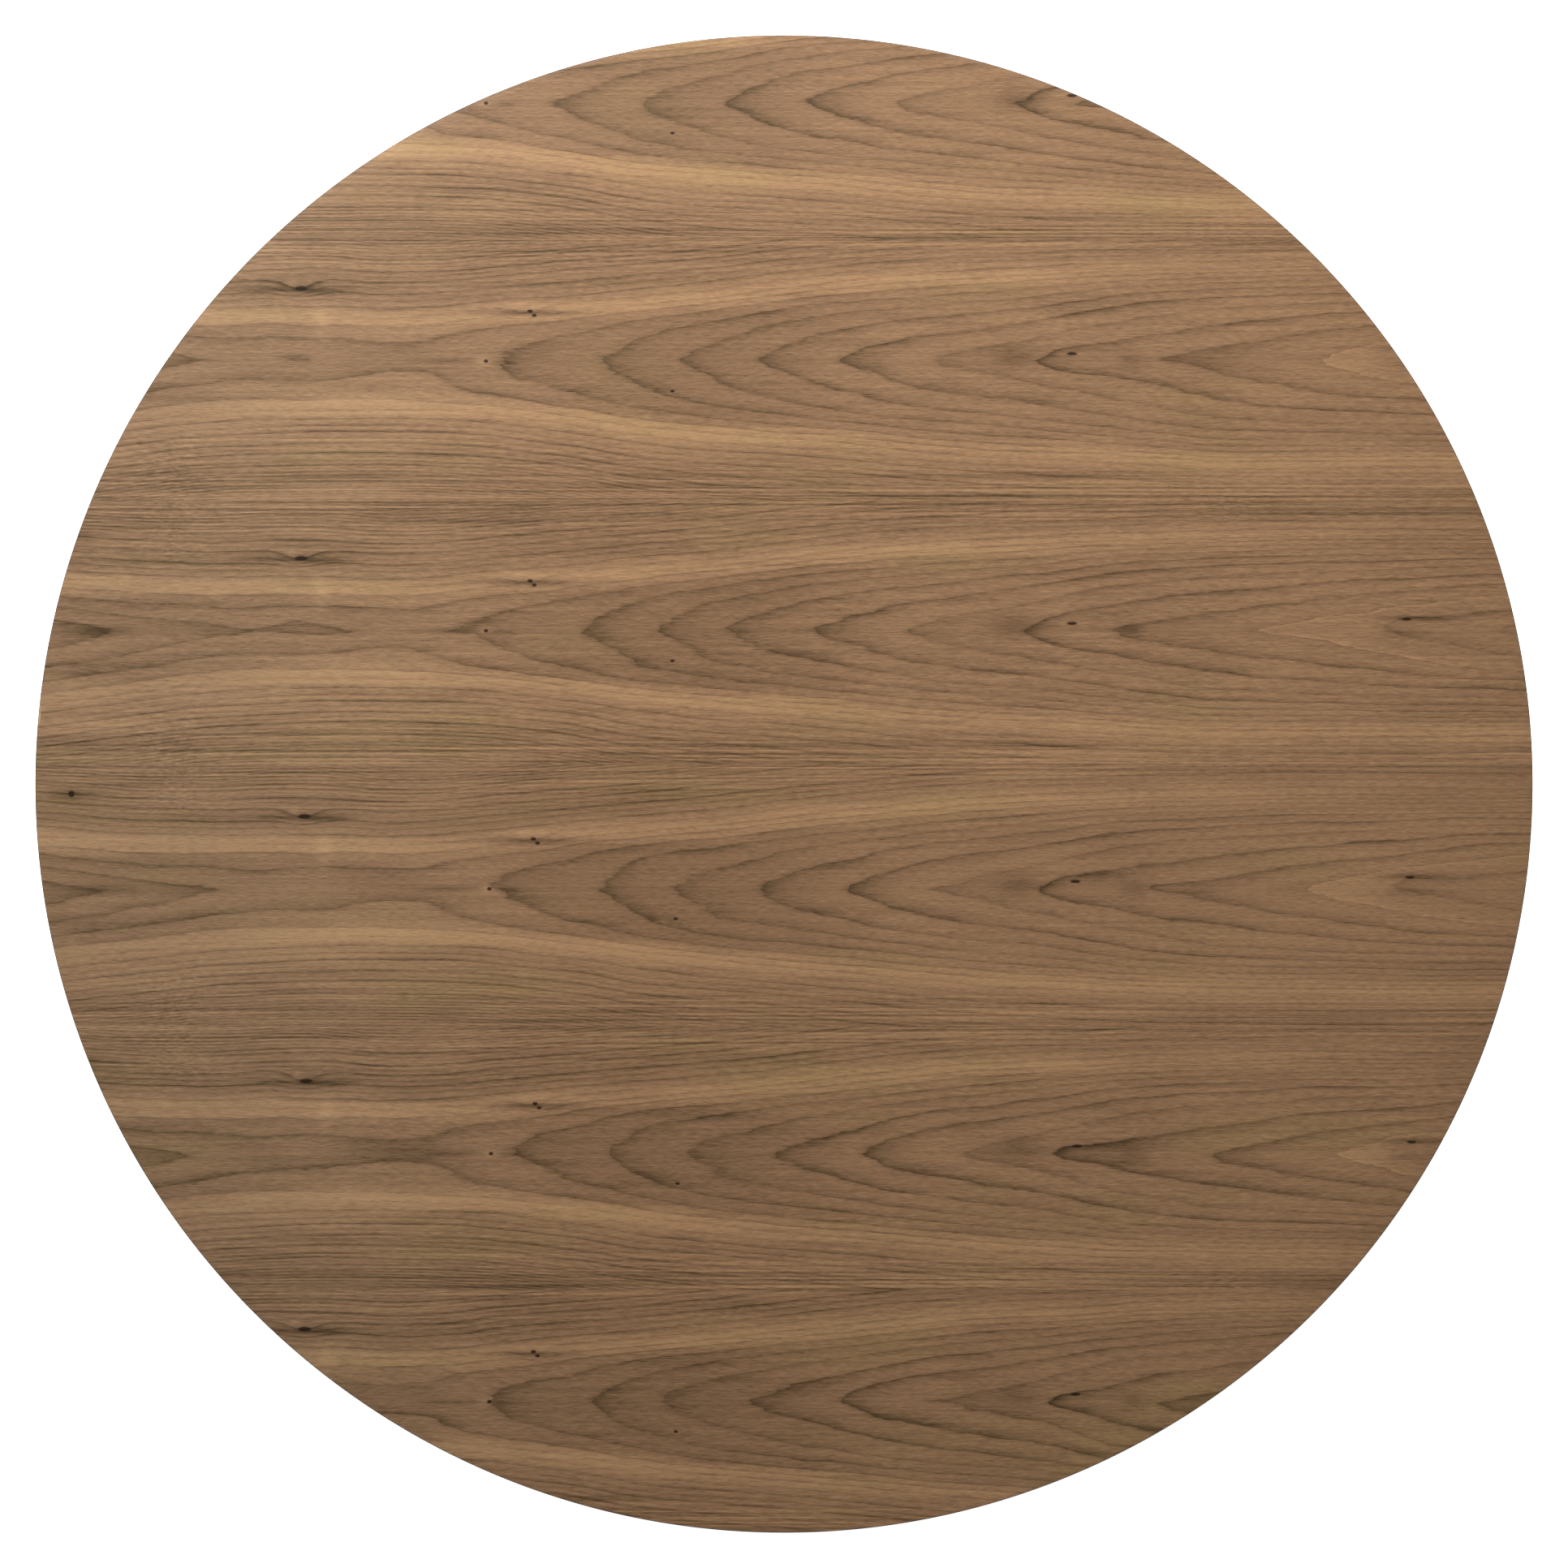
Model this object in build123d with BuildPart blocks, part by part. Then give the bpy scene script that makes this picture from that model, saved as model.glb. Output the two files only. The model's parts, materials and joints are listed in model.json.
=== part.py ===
from build123d import *

import os
from math import cos, radians, sin

# A round tilt-top pedestal table: a veneered board that swings from level to upright about a shaft
# under its front half, on a steel column with a four-arm base.
#
# Frame: +Z up, millimetres, origin on the floor at the centre of the column. +X is along the grain
# of the face veneer and along the tilt shaft, and -Y is the front, the edge that swings down.

# ---- driving dimensions ----------------------------------------------------------------------
TABLE_HEIGHT = 740.0
TOP_RADIUS = 450.0

VENEER = 0.6  # face veneer thickness
CORE = 22.0  # board core thickness
BACKER = 0.8  # balancing laminate under the core
EDGE_LAND = 7.0  # upright part of the board's edge, above the under-bevel
BEVEL_RUN = 30.0  # how far the under-bevel runs in from the edge
LEAF_WIDTH = 158.0  # one veneer leaf, seam to seam
SEAM_OFFSET = 12.0  # the middle seam's distance behind the centre line

PIVOT_Y = -48.0
PIVOT_DROP = 32.0  # shaft centre below the board's underside
SHAFT_RADIUS = 8.0
RUNNING_GAP = 0.05  # radial clearance of every pin or stud that turns or slides

COLUMN_RADIUS = 38.0
COLUMN_WALL = 2.0
COLUMN_BOTTOM = 62.0
COLUMN_TOP = 650.0

ARM_REACH = 345.0  # column centre to the end of an arm
ARM_BOTTOM = 18.0  # arm's underside above the floor
ARM_ROOT_HEIGHT = 38.0
ARM_TIP_HEIGHT = 22.0
ARM_ROOT_WIDTH = 44.0
ARM_TIP_RADIUS = 17.0
ARM_WALL = 6.0
ARM_ANGLES = {"front_right": -45, "rear_right": 45, "rear_left": 135, "front_left": -135}

# ---- levels and places that follow from them -------------------------------------------------
CORE_TOP = TABLE_HEIGHT - VENEER
CORE_BOTTOM = CORE_TOP - CORE
UNDERSIDE = CORE_BOTTOM - BACKER
BACKER_RADIUS = TOP_RADIUS - BEVEL_RUN
PIVOT_Z = UNDERSIDE - PIVOT_DROP

# Board frame: two angle-section bearers across the grain and a crossbar between them.
BEARER_IN = 100.0  # bearer web's inner face, from the centre
BEARER_STEEL = 3.0
BEARER_FLANGE = 40.0
BEARER_WEB = 30.0
BEARER_HALF = 275.0
LUG_RADIUS = 17.0
LUG_BOSS = 6.0
SCREW_RADIUS = 2.5
SCREW_LENGTH = 17.0
SCREW_X = BEARER_IN + 24.0
SCREW_YS = (-250.0, -150.0, 0.0, 150.0, 250.0)

CROSSBAR_Y = (58.0, 82.0)
CROSSBAR_Z = (690.0, 702.0)
CROSSBAR_SCREW_YS = (64.0, 76.0)
CROSSBAR_SCREW_RADIUS = 3.0
CROSSBAR_SCREW_DEPTH = 18.0

# Tilt head: socket on the column, deck, pivot barrel in front, rest pads behind.
SOCKET_RADIUS = 46.0
SOCKET_BOTTOM = 600.0
DECK_BOTTOM = 660.0
DECK_TOP = 672.0
DECK_HALF = 84.0
DECK_FRONT = -62.0
DECK_BACK = 72.0
BARREL_RADIUS = 18.0
BARREL_HALF = 95.0
BUSH_RADIUS = 10.0
BUSH_LENGTH = 25.0
BUSH_FLANGE = 2.5
BUSH_FLANGE_RADIUS = 14.0
PAD_PLACES = ((-56.0, 68.0), (56.0, 68.0))
PAD_RADIUS = 11.0
PAD_BASE = 680.0
PAD_GAP = 0.3  # left between a rubber part and the steel it stops, so that bodies don't overlap
BUFFER_XS = (-60.0, 60.0)
BUFFER_Z = 656.0
BUFFER_RADIUS = 8.0
LIP_BOTTOM = 644.0
TIE_RADIUS = 6.0

# Latch: a hook behind the crossbar on a pin in a bolted bracket, opened by a lever.
LATCH_Y = 90.0
LATCH_Z = 656.0
LATCH_PIN_RADIUS = 4.0
HOOK_HALF = 4.0
BRACKET_IN = 5.2  # inner face of each bracket side, from the centre
BRACKET_STEEL = 3.0
SPRING_Y = 112.0
SPRING_SEAT = 619.0  # top of the bracket's floor, where the spring stands
HOOK_TAIL_BOTTOM = 649.0
LEVER_RADIUS = 4.0
LEVER_END = 268.0
GRIP_RADIUS = 11.0
GRIP_START = 172.0

# Base hub and its fixings.
HUB_RADIUS = 52.0
HUB_BOTTOM = 14.0
HUB_FLAT = 46.0  # centre to each flat that an arm butts on
HUB_CAVITY = 32.0  # centre to each wall of the square cavity
HUB_ROOF = 46.0
ARM_SCREW_Z = 34.0
ARM_SCREW_OFFSET = 12.0
ARM_SCREW_RADIUS = 4.0
ARM_SCREW_END = 72.0

# Levelling glides.
GLIDE_R = ARM_REACH - ARM_TIP_RADIUS
STUD_RADIUS = 4.0
STUD_TOP = 34.0
FOOT_HEIGHT = 8.0
FOOT_RADIUS = 18.0


def write(piece, label):
    """Label a finished piece and write it as its own STEP file."""
    piece.label = label
    export_step(piece, f"parts/{label}.step")


def facing_x(x):
    """A sketch plane at x with its own X along +Y and its own Y along +Z."""
    return Plane(origin=(x, 0, 0), x_dir=(0, 1, 0), z_dir=(1, 0, 0))


def facing_up(z):
    return Plane.XY.offset(z)


# ---- board ------------------------------------------------------------------------------------
def face_veneer():
    """Six leaves, edge-joined and trimmed to the board's outline, each its own piece."""
    seams = [SEAM_OFFSET + LEAF_WIDTH * k for k in (-2, -1, 0, 1, 2)]
    edges = [-TOP_RADIUS, *seams, TOP_RADIUS]
    for number, (low, high) in enumerate(zip(edges, edges[1:]), start=1):
        with BuildPart() as leaf:
            with BuildSketch(facing_up(CORE_TOP)):
                Circle(TOP_RADIUS)
                with Locations((0, (low + high) / 2)):
                    Rectangle(2 * TOP_RADIUS, high - low, mode=Mode.INTERSECT)
            extrude(amount=VENEER)
        write(leaf.part, f"veneer_leaf_{number}")


def screw_places():
    return [(side * SCREW_X, y) for side in (-1, 1) for y in SCREW_YS]


def core_board():
    """Fibreboard disc with a reverse-bevelled edge and pilot holes from below."""
    with BuildPart() as core:
        with BuildSketch(Plane.XZ):
            with BuildLine():
                Polyline(
                    (0, CORE_BOTTOM),
                    (BACKER_RADIUS, CORE_BOTTOM),
                    (TOP_RADIUS, CORE_TOP - EDGE_LAND),
                    (TOP_RADIUS, CORE_TOP),
                    (0, CORE_TOP),
                    close=True,
                )
            make_face()
        revolve(axis=Axis.Z)
        with BuildSketch(facing_up(CORE_BOTTOM)):
            with Locations(*screw_places()):
                Circle(SCREW_RADIUS)
        extrude(amount=SCREW_LENGTH - BEARER_STEEL - BACKER, mode=Mode.SUBTRACT)
    write(core.part, "core_board")


def backer_sheet():
    with BuildPart() as backer:
        with BuildSketch(facing_up(UNDERSIDE)):
            Circle(BACKER_RADIUS)
            with Locations(*screw_places()):
                Circle(SCREW_RADIUS, mode=Mode.SUBTRACT)
        extrude(amount=BACKER)
    write(backer.part, "backer_sheet")


# ---- board frame ------------------------------------------------------------------------------
def bearers():
    """Angle-section steel rails across the grain, each with a bossed lug for the tilt shaft."""
    flange_bottom = UNDERSIDE - BEARER_STEEL
    web_bottom = UNDERSIDE - BEARER_WEB
    taper = 60.0
    end_height = 12.0
    pin = roll_pin(1)
    with BuildPart() as right:
        with BuildSketch(facing_x(BEARER_IN)):
            with BuildLine():
                Polyline(
                    (-BEARER_HALF, UNDERSIDE),
                    (-BEARER_HALF, UNDERSIDE - end_height),
                    (-BEARER_HALF + taper, web_bottom),
                    (BEARER_HALF - taper, web_bottom),
                    (BEARER_HALF, UNDERSIDE - end_height),
                    (BEARER_HALF, UNDERSIDE),
                    close=True,
                )
            make_face()
            with Locations((PIVOT_Y, PIVOT_Z)):
                Circle(LUG_RADIUS)
        extrude(amount=BEARER_STEEL)
        with BuildSketch(facing_x(BEARER_IN + BEARER_STEEL)):
            with Locations((PIVOT_Y, PIVOT_Z)):
                Circle(LUG_RADIUS - 1.0)
        extrude(amount=LUG_BOSS)
        with BuildSketch(facing_up(flange_bottom)):
            with Locations((BEARER_IN + BEARER_FLANGE / 2, 0)):
                Rectangle(BEARER_FLANGE, 2 * BEARER_HALF)
        extrude(amount=BEARER_STEEL)
        flange_corners = right.edges().filter_by(Axis.Z).group_by(Axis.X)[-1]
        fillet(flange_corners, radius=12)
        inner_bend = (
            right.edges()
            .filter_by(Axis.Y)
            .filter_by(lambda e: abs(e.center().X - BEARER_IN - BEARER_STEEL) < 0.01)
            .filter_by(lambda e: abs(e.center().Z - flange_bottom) < 0.01)
        )
        fillet(inner_bend, radius=2.0)
        with BuildSketch(facing_up(flange_bottom)):
            with Locations(*[(SCREW_X, y) for y in SCREW_YS]):
                Circle(SCREW_RADIUS + 0.25)
        extrude(amount=BEARER_STEEL, mode=Mode.SUBTRACT)
        with BuildSketch(facing_x(BEARER_IN)):
            with Locations((PIVOT_Y, PIVOT_Z)):
                Circle(SHAFT_RADIUS)
            with Locations(*[(y, sum(CROSSBAR_Z) / 2) for y in CROSSBAR_SCREW_YS]):
                Circle(CROSSBAR_SCREW_RADIUS + 0.2)
        extrude(amount=BEARER_STEEL + LUG_BOSS, mode=Mode.SUBTRACT)
        add(pin, mode=Mode.SUBTRACT)
    write(right.part, "bearer_right")
    with BuildPart() as left:
        mirror(right.part, about=Plane.YZ)
    write(left.part, "bearer_left")


def roll_pin(side):
    """Spring pin across a bearer's boss and the shaft, which makes them turn together."""
    with BuildPart() as pin:
        with BuildSketch(facing_up(PIVOT_Z - LUG_RADIUS + 1.0)):
            with Locations((side * (BEARER_IN + BEARER_STEEL + LUG_BOSS / 2), PIVOT_Y)):
                Circle(1.5)
        extrude(amount=2 * LUG_RADIUS - 2.0)
    return pin.part


def crossbar():
    """Solid steel bar between the bearers: it sits on the rest pads, and the latch holds it down."""
    with BuildPart() as bar:
        with BuildSketch(facing_up(CROSSBAR_Z[0])):
            with Locations((0, sum(CROSSBAR_Y) / 2)):
                Rectangle(2 * BEARER_IN, CROSSBAR_Y[1] - CROSSBAR_Y[0])
        extrude(amount=CROSSBAR_Z[1] - CROSSBAR_Z[0])
        chamfer(bar.edges().filter_by(Axis.X), length=0.8)
        for x in (-BEARER_IN, BEARER_IN - CROSSBAR_SCREW_DEPTH):
            with BuildSketch(facing_x(x)):
                with Locations(*[(y, sum(CROSSBAR_Z) / 2) for y in CROSSBAR_SCREW_YS]):
                    Circle(CROSSBAR_SCREW_RADIUS)
            extrude(amount=CROSSBAR_SCREW_DEPTH, mode=Mode.SUBTRACT)
    write(bar.part, "crossbar")


def button_screw(shank_radius, shank_length, head_radius, head_height, socket_radius):
    """Button-head screw along +Z, its head's bearing face at the origin and the head below it."""
    with BuildPart() as screw:
        with BuildSketch():
            Circle(head_radius)
        extrude(amount=-head_height)
        fillet(screw.faces().sort_by(Axis.Z)[0].edges(), radius=head_height * 0.6)
        with BuildSketch():
            Circle(shank_radius)
        extrude(amount=shank_length)
        chamfer(screw.faces().sort_by(Axis.Z)[-1].edges(), length=shank_radius * 0.25)
        with BuildSketch(Plane.XY.offset(-head_height)):
            RegularPolygon(socket_radius, 6)
        extrude(amount=head_height * 0.55, mode=Mode.SUBTRACT)
    return screw.part


def frame_screws():
    """Ten screws up into the board and four through the bearers into the crossbar's ends."""
    wood_screw = button_screw(SCREW_RADIUS, SCREW_LENGTH, 4.75, 3.0, 1.8)
    with BuildPart() as board_screws:
        with Locations(*[(x, y, UNDERSIDE - BEARER_STEEL) for x, y in screw_places()]):
            add(wood_screw)
    write(board_screws.part, "bearer_wood_screws")

    outside = BEARER_IN + BEARER_STEEL
    bar_screw_length = BEARER_STEEL + CROSSBAR_SCREW_DEPTH
    bar_screw = button_screw(CROSSBAR_SCREW_RADIUS, bar_screw_length, 5.25, 3.3, 2.2)
    height = sum(CROSSBAR_Z) / 2
    places = []
    for side in (-1, 1):
        for y in CROSSBAR_SCREW_YS:
            places.append(Location((side * outside, y, height), (0, -90 * side, 0)))
    with BuildPart() as bar_screws:
        with Locations(*places):
            add(bar_screw)
    write(bar_screws.part, "crossbar_screws")


def tilt_shaft():
    """Shaft fixed in the bearers, with its clips, spring pins and thrust washers."""
    half = BEARER_IN + BEARER_STEEL + LUG_BOSS + 5.0
    clip_start = BEARER_IN + BEARER_STEEL + LUG_BOSS
    clip = 1.2
    groove_radius = SHAFT_RADIUS - 0.9
    pins = [roll_pin(side) for side in (-1, 1)]
    with BuildPart() as shaft:
        with BuildSketch(facing_x(-half)):
            with Locations((PIVOT_Y, PIVOT_Z)):
                Circle(SHAFT_RADIUS)
        extrude(amount=2 * half)
        end_faces = shaft.faces().sort_by(Axis.X)
        chamfer(end_faces[0].edges() + end_faces[-1].edges(), length=1.0)
        for x in (-clip_start - clip, clip_start):
            with BuildSketch(facing_x(x)):
                with Locations((PIVOT_Y, PIVOT_Z)):
                    Circle(SHAFT_RADIUS + 1.0)
                    Circle(groove_radius, mode=Mode.SUBTRACT)
            extrude(amount=clip, mode=Mode.SUBTRACT)
        add(pins, mode=Mode.SUBTRACT)
    write(shaft.part, "tilt_shaft")

    with BuildPart() as both_pins:
        add(pins)
    write(both_pins.part, "shaft_roll_pins")

    for side, name in ((-1, "left"), (1, "right")):
        start = clip_start if side > 0 else -clip_start - clip
        with BuildPart() as circlip:
            with BuildSketch(facing_x(start)):
                with Locations((PIVOT_Y, PIVOT_Z)):
                    Circle(SHAFT_RADIUS + 3.2)
                    Circle(groove_radius, mode=Mode.SUBTRACT)
                with Locations((PIVOT_Y, PIVOT_Z - SHAFT_RADIUS - 1)):
                    Rectangle(groove_radius * 1.2, SHAFT_RADIUS, mode=Mode.SUBTRACT)
            extrude(amount=clip)
        write(circlip.part, f"shaft_circlip_{name}")

        flange_face = BARREL_HALF + BUSH_FLANGE
        inner = flange_face + 0.2 if side > 0 else -BEARER_IN + 0.1
        with BuildPart() as washer:
            with BuildSketch(facing_x(inner)):
                with Locations((PIVOT_Y, PIVOT_Z)):
                    Circle(LUG_RADIUS - 2.0)
                    Circle(SHAFT_RADIUS, mode=Mode.SUBTRACT)
            extrude(amount=BEARER_IN - flange_face - 0.3)
        write(washer.part, f"thrust_washer_{name}")


# ---- tilt head --------------------------------------------------------------------------------
def tilt_head():
    """Casting on top of the column: socket, deck, pivot barrel, pad bosses and buffer lip."""
    boss_bottom = 630.0
    gusset_x = 46.0
    gusset_thickness = 8.0
    deck_middle = (DECK_FRONT + DECK_BACK) / 2
    with BuildPart() as head:
        with BuildSketch(facing_up(SOCKET_BOTTOM)):
            Circle(SOCKET_RADIUS)
        extrude(amount=DECK_BOTTOM - SOCKET_BOTTOM)
        with BuildSketch(facing_up(DECK_BOTTOM)):
            with Locations((0, deck_middle)):
                RectangleRounded(2 * DECK_HALF, DECK_BACK - DECK_FRONT, 14)
        extrude(amount=DECK_TOP - DECK_BOTTOM)
        with BuildSketch(facing_up(LIP_BOTTOM)):
            with Locations((0, DECK_FRONT + 6)):
                Rectangle(2 * DECK_HALF - 28, 12)
        extrude(amount=DECK_BOTTOM - LIP_BOTTOM)
        with BuildSketch(facing_x(-BARREL_HALF)):
            with Locations((PIVOT_Y, PIVOT_Z)):
                Circle(BARREL_RADIUS)
        extrude(amount=2 * BARREL_HALF)
        for x in (-gusset_x, 0, gusset_x):
            with BuildSketch(facing_x(x - gusset_thickness / 2)):
                with BuildLine():
                    Polyline(
                        (PIVOT_Y, DECK_TOP - 2),
                        (PIVOT_Y, PIVOT_Z + 10),
                        (PIVOT_Y + BARREL_RADIUS, PIVOT_Z + 6),
                        (PIVOT_Y + 62, DECK_TOP),
                        (PIVOT_Y + 62, DECK_TOP - 2),
                        close=True,
                    )
                make_face()
            extrude(amount=gusset_thickness)
        with BuildSketch(facing_up(DECK_BOTTOM)):
            with Locations(*PAD_PLACES):
                Circle(PAD_RADIUS + 2)
        extrude(amount=PAD_BASE - DECK_BOTTOM)
        outlines = head.edges().filter_by(GeomType.CIRCLE)
        socket_mouth = outlines.filter_by_position(Axis.Z, SOCKET_BOTTOM - 1, SOCKET_BOTTOM + 1)
        barrel_ends = outlines.filter_by(lambda edge: abs(abs(edge.center().X) - BARREL_HALF) < 0.1)
        chamfer(socket_mouth + barrel_ends, length=1.5)
        # Bore for the column, leaving a central boss for the tie rod.
        with BuildSketch(facing_up(SOCKET_BOTTOM)):
            Circle(COLUMN_RADIUS)
        extrude(amount=COLUMN_TOP - SOCKET_BOTTOM, mode=Mode.SUBTRACT)
        with BuildSketch(facing_up(boss_bottom)):
            Circle(15)
        extrude(amount=COLUMN_TOP - boss_bottom)
        with BuildSketch(facing_up(boss_bottom)):
            Circle(TIE_RADIUS)
        extrude(amount=DECK_BOTTOM - boss_bottom, mode=Mode.SUBTRACT)
        # Barrel bore and its two wider bush seats.
        with BuildSketch(facing_x(-BARREL_HALF)):
            with Locations((PIVOT_Y, PIVOT_Z)):
                Circle(SHAFT_RADIUS + 0.8)
        extrude(amount=2 * BARREL_HALF, mode=Mode.SUBTRACT)
        for x in (-BARREL_HALF, BARREL_HALF - BUSH_LENGTH):
            with BuildSketch(facing_x(x)):
                with Locations((PIVOT_Y, PIVOT_Z)):
                    Circle(BUSH_RADIUS)
            extrude(amount=BUSH_LENGTH, mode=Mode.SUBTRACT)
        # Threads for the bracket screws and the set screws, and seats for pads and buffers.
        with BuildSketch(facing_up(DECK_BOTTOM)):
            with Locations(*bracket_screw_places()):
                Circle(3)
        extrude(amount=9, mode=Mode.SUBTRACT)
        with BuildSketch(facing_x(-SOCKET_RADIUS)):
            with Locations((0, set_screw_height())):
                Circle(3)
        extrude(amount=2 * SOCKET_RADIUS, mode=Mode.SUBTRACT)
        with BuildSketch(facing_up(PAD_BASE - 5)):
            with Locations(*PAD_PLACES):
                Circle(4)
        extrude(amount=5, mode=Mode.SUBTRACT)
        with BuildSketch(Plane.XZ.offset(-DECK_FRONT)):
            with Locations(*[(x, BUFFER_Z) for x in BUFFER_XS]):
                Circle(3)
        extrude(amount=-8, mode=Mode.SUBTRACT)
    write(head.part, "tilt_head")


def bracket_screw_places():
    return [(-22.0, 60.0), (22.0, 60.0)]


def set_screw_height():
    return SOCKET_BOTTOM + 18.0


def head_fittings():
    """Bushes, rubber rest pads, rubber end buffers and the socket's set screws."""
    for side, name in ((-1, "left"), (1, "right")):
        with BuildPart() as bush:
            with BuildSketch(facing_x(BARREL_HALF - BUSH_LENGTH)):
                with Locations((PIVOT_Y, PIVOT_Z)):
                    Circle(BUSH_RADIUS)
                    Circle(SHAFT_RADIUS + RUNNING_GAP, mode=Mode.SUBTRACT)
            extrude(amount=BUSH_LENGTH)
            with BuildSketch(facing_x(BARREL_HALF)):
                with Locations((PIVOT_Y, PIVOT_Z)):
                    Circle(BUSH_FLANGE_RADIUS)
                    Circle(SHAFT_RADIUS + RUNNING_GAP, mode=Mode.SUBTRACT)
            extrude(amount=BUSH_FLANGE)
        with BuildPart() as placed:
            if side > 0:
                add(bush.part)
            else:
                mirror(bush.part, about=Plane.YZ)
        write(placed.part, f"pivot_bush_{name}")

    for (x, y), name in zip(PAD_PLACES, ("left", "right")):
        pad_top = CROSSBAR_Z[0] - PAD_GAP
        with BuildPart() as pad:
            with BuildSketch(facing_up(PAD_BASE - 5)):
                with Locations((x, y)):
                    Circle(4)
            extrude(amount=5)
            with BuildSketch(facing_up(PAD_BASE)):
                with Locations((x, y)):
                    Circle(PAD_RADIUS)
            extrude(amount=pad_top - PAD_BASE)
            fillet(pad.faces().sort_by(Axis.Z)[-1].edges(), radius=2)
        write(pad.part, f"rest_pad_{name}")

    reach = PIVOT_DROP + (DECK_FRONT - PIVOT_Y) - PAD_GAP - 0.1
    for x, name in zip(BUFFER_XS, ("left", "right")):
        with BuildPart() as buffer:
            with BuildSketch(Plane.XZ.offset(-DECK_FRONT)):
                with Locations((x, BUFFER_Z)):
                    Circle(3)
            extrude(amount=-8)
            with BuildSketch(Plane.XZ.offset(-DECK_FRONT)):
                with Locations((x, BUFFER_Z)):
                    Circle(BUFFER_RADIUS)
            extrude(amount=reach)
            fillet(buffer.faces().sort_by(Axis.Y)[0].edges(), radius=2)
        write(buffer.part, f"tilt_buffer_{name}")

    depth = SOCKET_RADIUS - COLUMN_RADIUS
    with BuildPart() as set_screws:
        for x in (-SOCKET_RADIUS, COLUMN_RADIUS):
            with BuildSketch(facing_x(x)):
                with Locations((0, set_screw_height())):
                    Circle(3)
            extrude(amount=depth)
        for x in (-SOCKET_RADIUS, SOCKET_RADIUS - 3):
            with BuildSketch(facing_x(x)):
                with Locations((0, set_screw_height())):
                    RegularPolygon(1.7, 6)
            extrude(amount=3, mode=Mode.SUBTRACT)
    write(set_screws.part, "head_set_screws")


# ---- latch ------------------------------------------------------------------------------------
def latch_bracket():
    """Folded steel bracket behind the head: two cheeks for the latch pin and a floor for the spring."""
    back = SPRING_Y + 12
    outside = BRACKET_IN + BRACKET_STEEL
    floor_bottom = SPRING_SEAT - BRACKET_STEEL
    tab_outer = 32.0
    tab_front = 50.0
    with BuildPart() as bracket:
        for x in (-outside, BRACKET_IN):
            with BuildSketch(facing_x(x)):
                with BuildLine():
                    Polyline(
                        (tab_front, DECK_BOTTOM),
                        (DECK_BACK + 1, DECK_BOTTOM),
                        (LATCH_Y - 9, LATCH_Z + 11),
                        (LATCH_Y + 8, LATCH_Z + 11),
                        (back, LATCH_Z - 12),
                        (back, floor_bottom),
                        (SPRING_Y - 12, floor_bottom),
                        (tab_front, DECK_BOTTOM - 16),
                        close=True,
                    )
                make_face()
            extrude(amount=BRACKET_STEEL)
        with BuildSketch(facing_up(floor_bottom)):
            with Locations((0, SPRING_Y)):
                Rectangle(2 * outside, 24)
        extrude(amount=BRACKET_STEEL)
        with BuildSketch(facing_up(DECK_BOTTOM - BRACKET_STEEL)):
            for side in (-1, 1):
                with Locations((side * (outside + tab_outer) / 2, (tab_front + DECK_BACK) / 2 - 1)):
                    Rectangle(tab_outer - outside + 2, DECK_BACK - tab_front - 2)
        extrude(amount=BRACKET_STEEL)
        with BuildSketch(facing_up(DECK_BOTTOM - BRACKET_STEEL)):
            with Locations(*bracket_screw_places()):
                Circle(3.3)
        extrude(amount=BRACKET_STEEL, mode=Mode.SUBTRACT)
        with BuildSketch(facing_x(-outside)):
            with Locations((LATCH_Y, LATCH_Z)):
                Circle(LATCH_PIN_RADIUS)
        extrude(amount=2 * outside, mode=Mode.SUBTRACT)
    write(bracket.part, "latch_bracket")

    bracket_screw = button_screw(3.0, BRACKET_STEEL + 8.5, 5.25, 3.3, 2.2)
    seat = DECK_BOTTOM - BRACKET_STEEL
    with BuildPart() as screws:
        with Locations(*[(x, y, seat) for x, y in bracket_screw_places()]):
            add(bracket_screw)
    write(screws.part, "bracket_screws")


def latch_pin():
    """Headed pin through the bracket's cheeks, held by a clip in a groove."""
    outside = BRACKET_IN + BRACKET_STEEL
    clip = 1.0
    end = outside + clip + 2.5
    with BuildPart() as pin:
        with BuildSketch(facing_x(-outside)):
            with Locations((LATCH_Y, LATCH_Z)):
                Circle(LATCH_PIN_RADIUS)
        extrude(amount=outside + end)
        with BuildSketch(facing_x(-outside - 2.5)):
            with Locations((LATCH_Y, LATCH_Z)):
                Circle(LATCH_PIN_RADIUS + 2.5)
        extrude(amount=2.5)
        with BuildSketch(facing_x(outside)):
            with Locations((LATCH_Y, LATCH_Z)):
                Circle(LATCH_PIN_RADIUS + 1)
                Circle(LATCH_PIN_RADIUS - 0.6, mode=Mode.SUBTRACT)
        extrude(amount=clip, mode=Mode.SUBTRACT)
    write(pin.part, "latch_pin")

    with BuildPart() as pin_clip:
        with BuildSketch(facing_x(outside)):
            with Locations((LATCH_Y, LATCH_Z)):
                Circle(LATCH_PIN_RADIUS + 3)
                Circle(LATCH_PIN_RADIUS - 0.6, mode=Mode.SUBTRACT)
            with Locations((LATCH_Y, LATCH_Z - LATCH_PIN_RADIUS - 1)):
                Rectangle(4.5, 6, mode=Mode.SUBTRACT)
        extrude(amount=clip)
    write(pin_clip.part, "latch_pin_clip")


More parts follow.
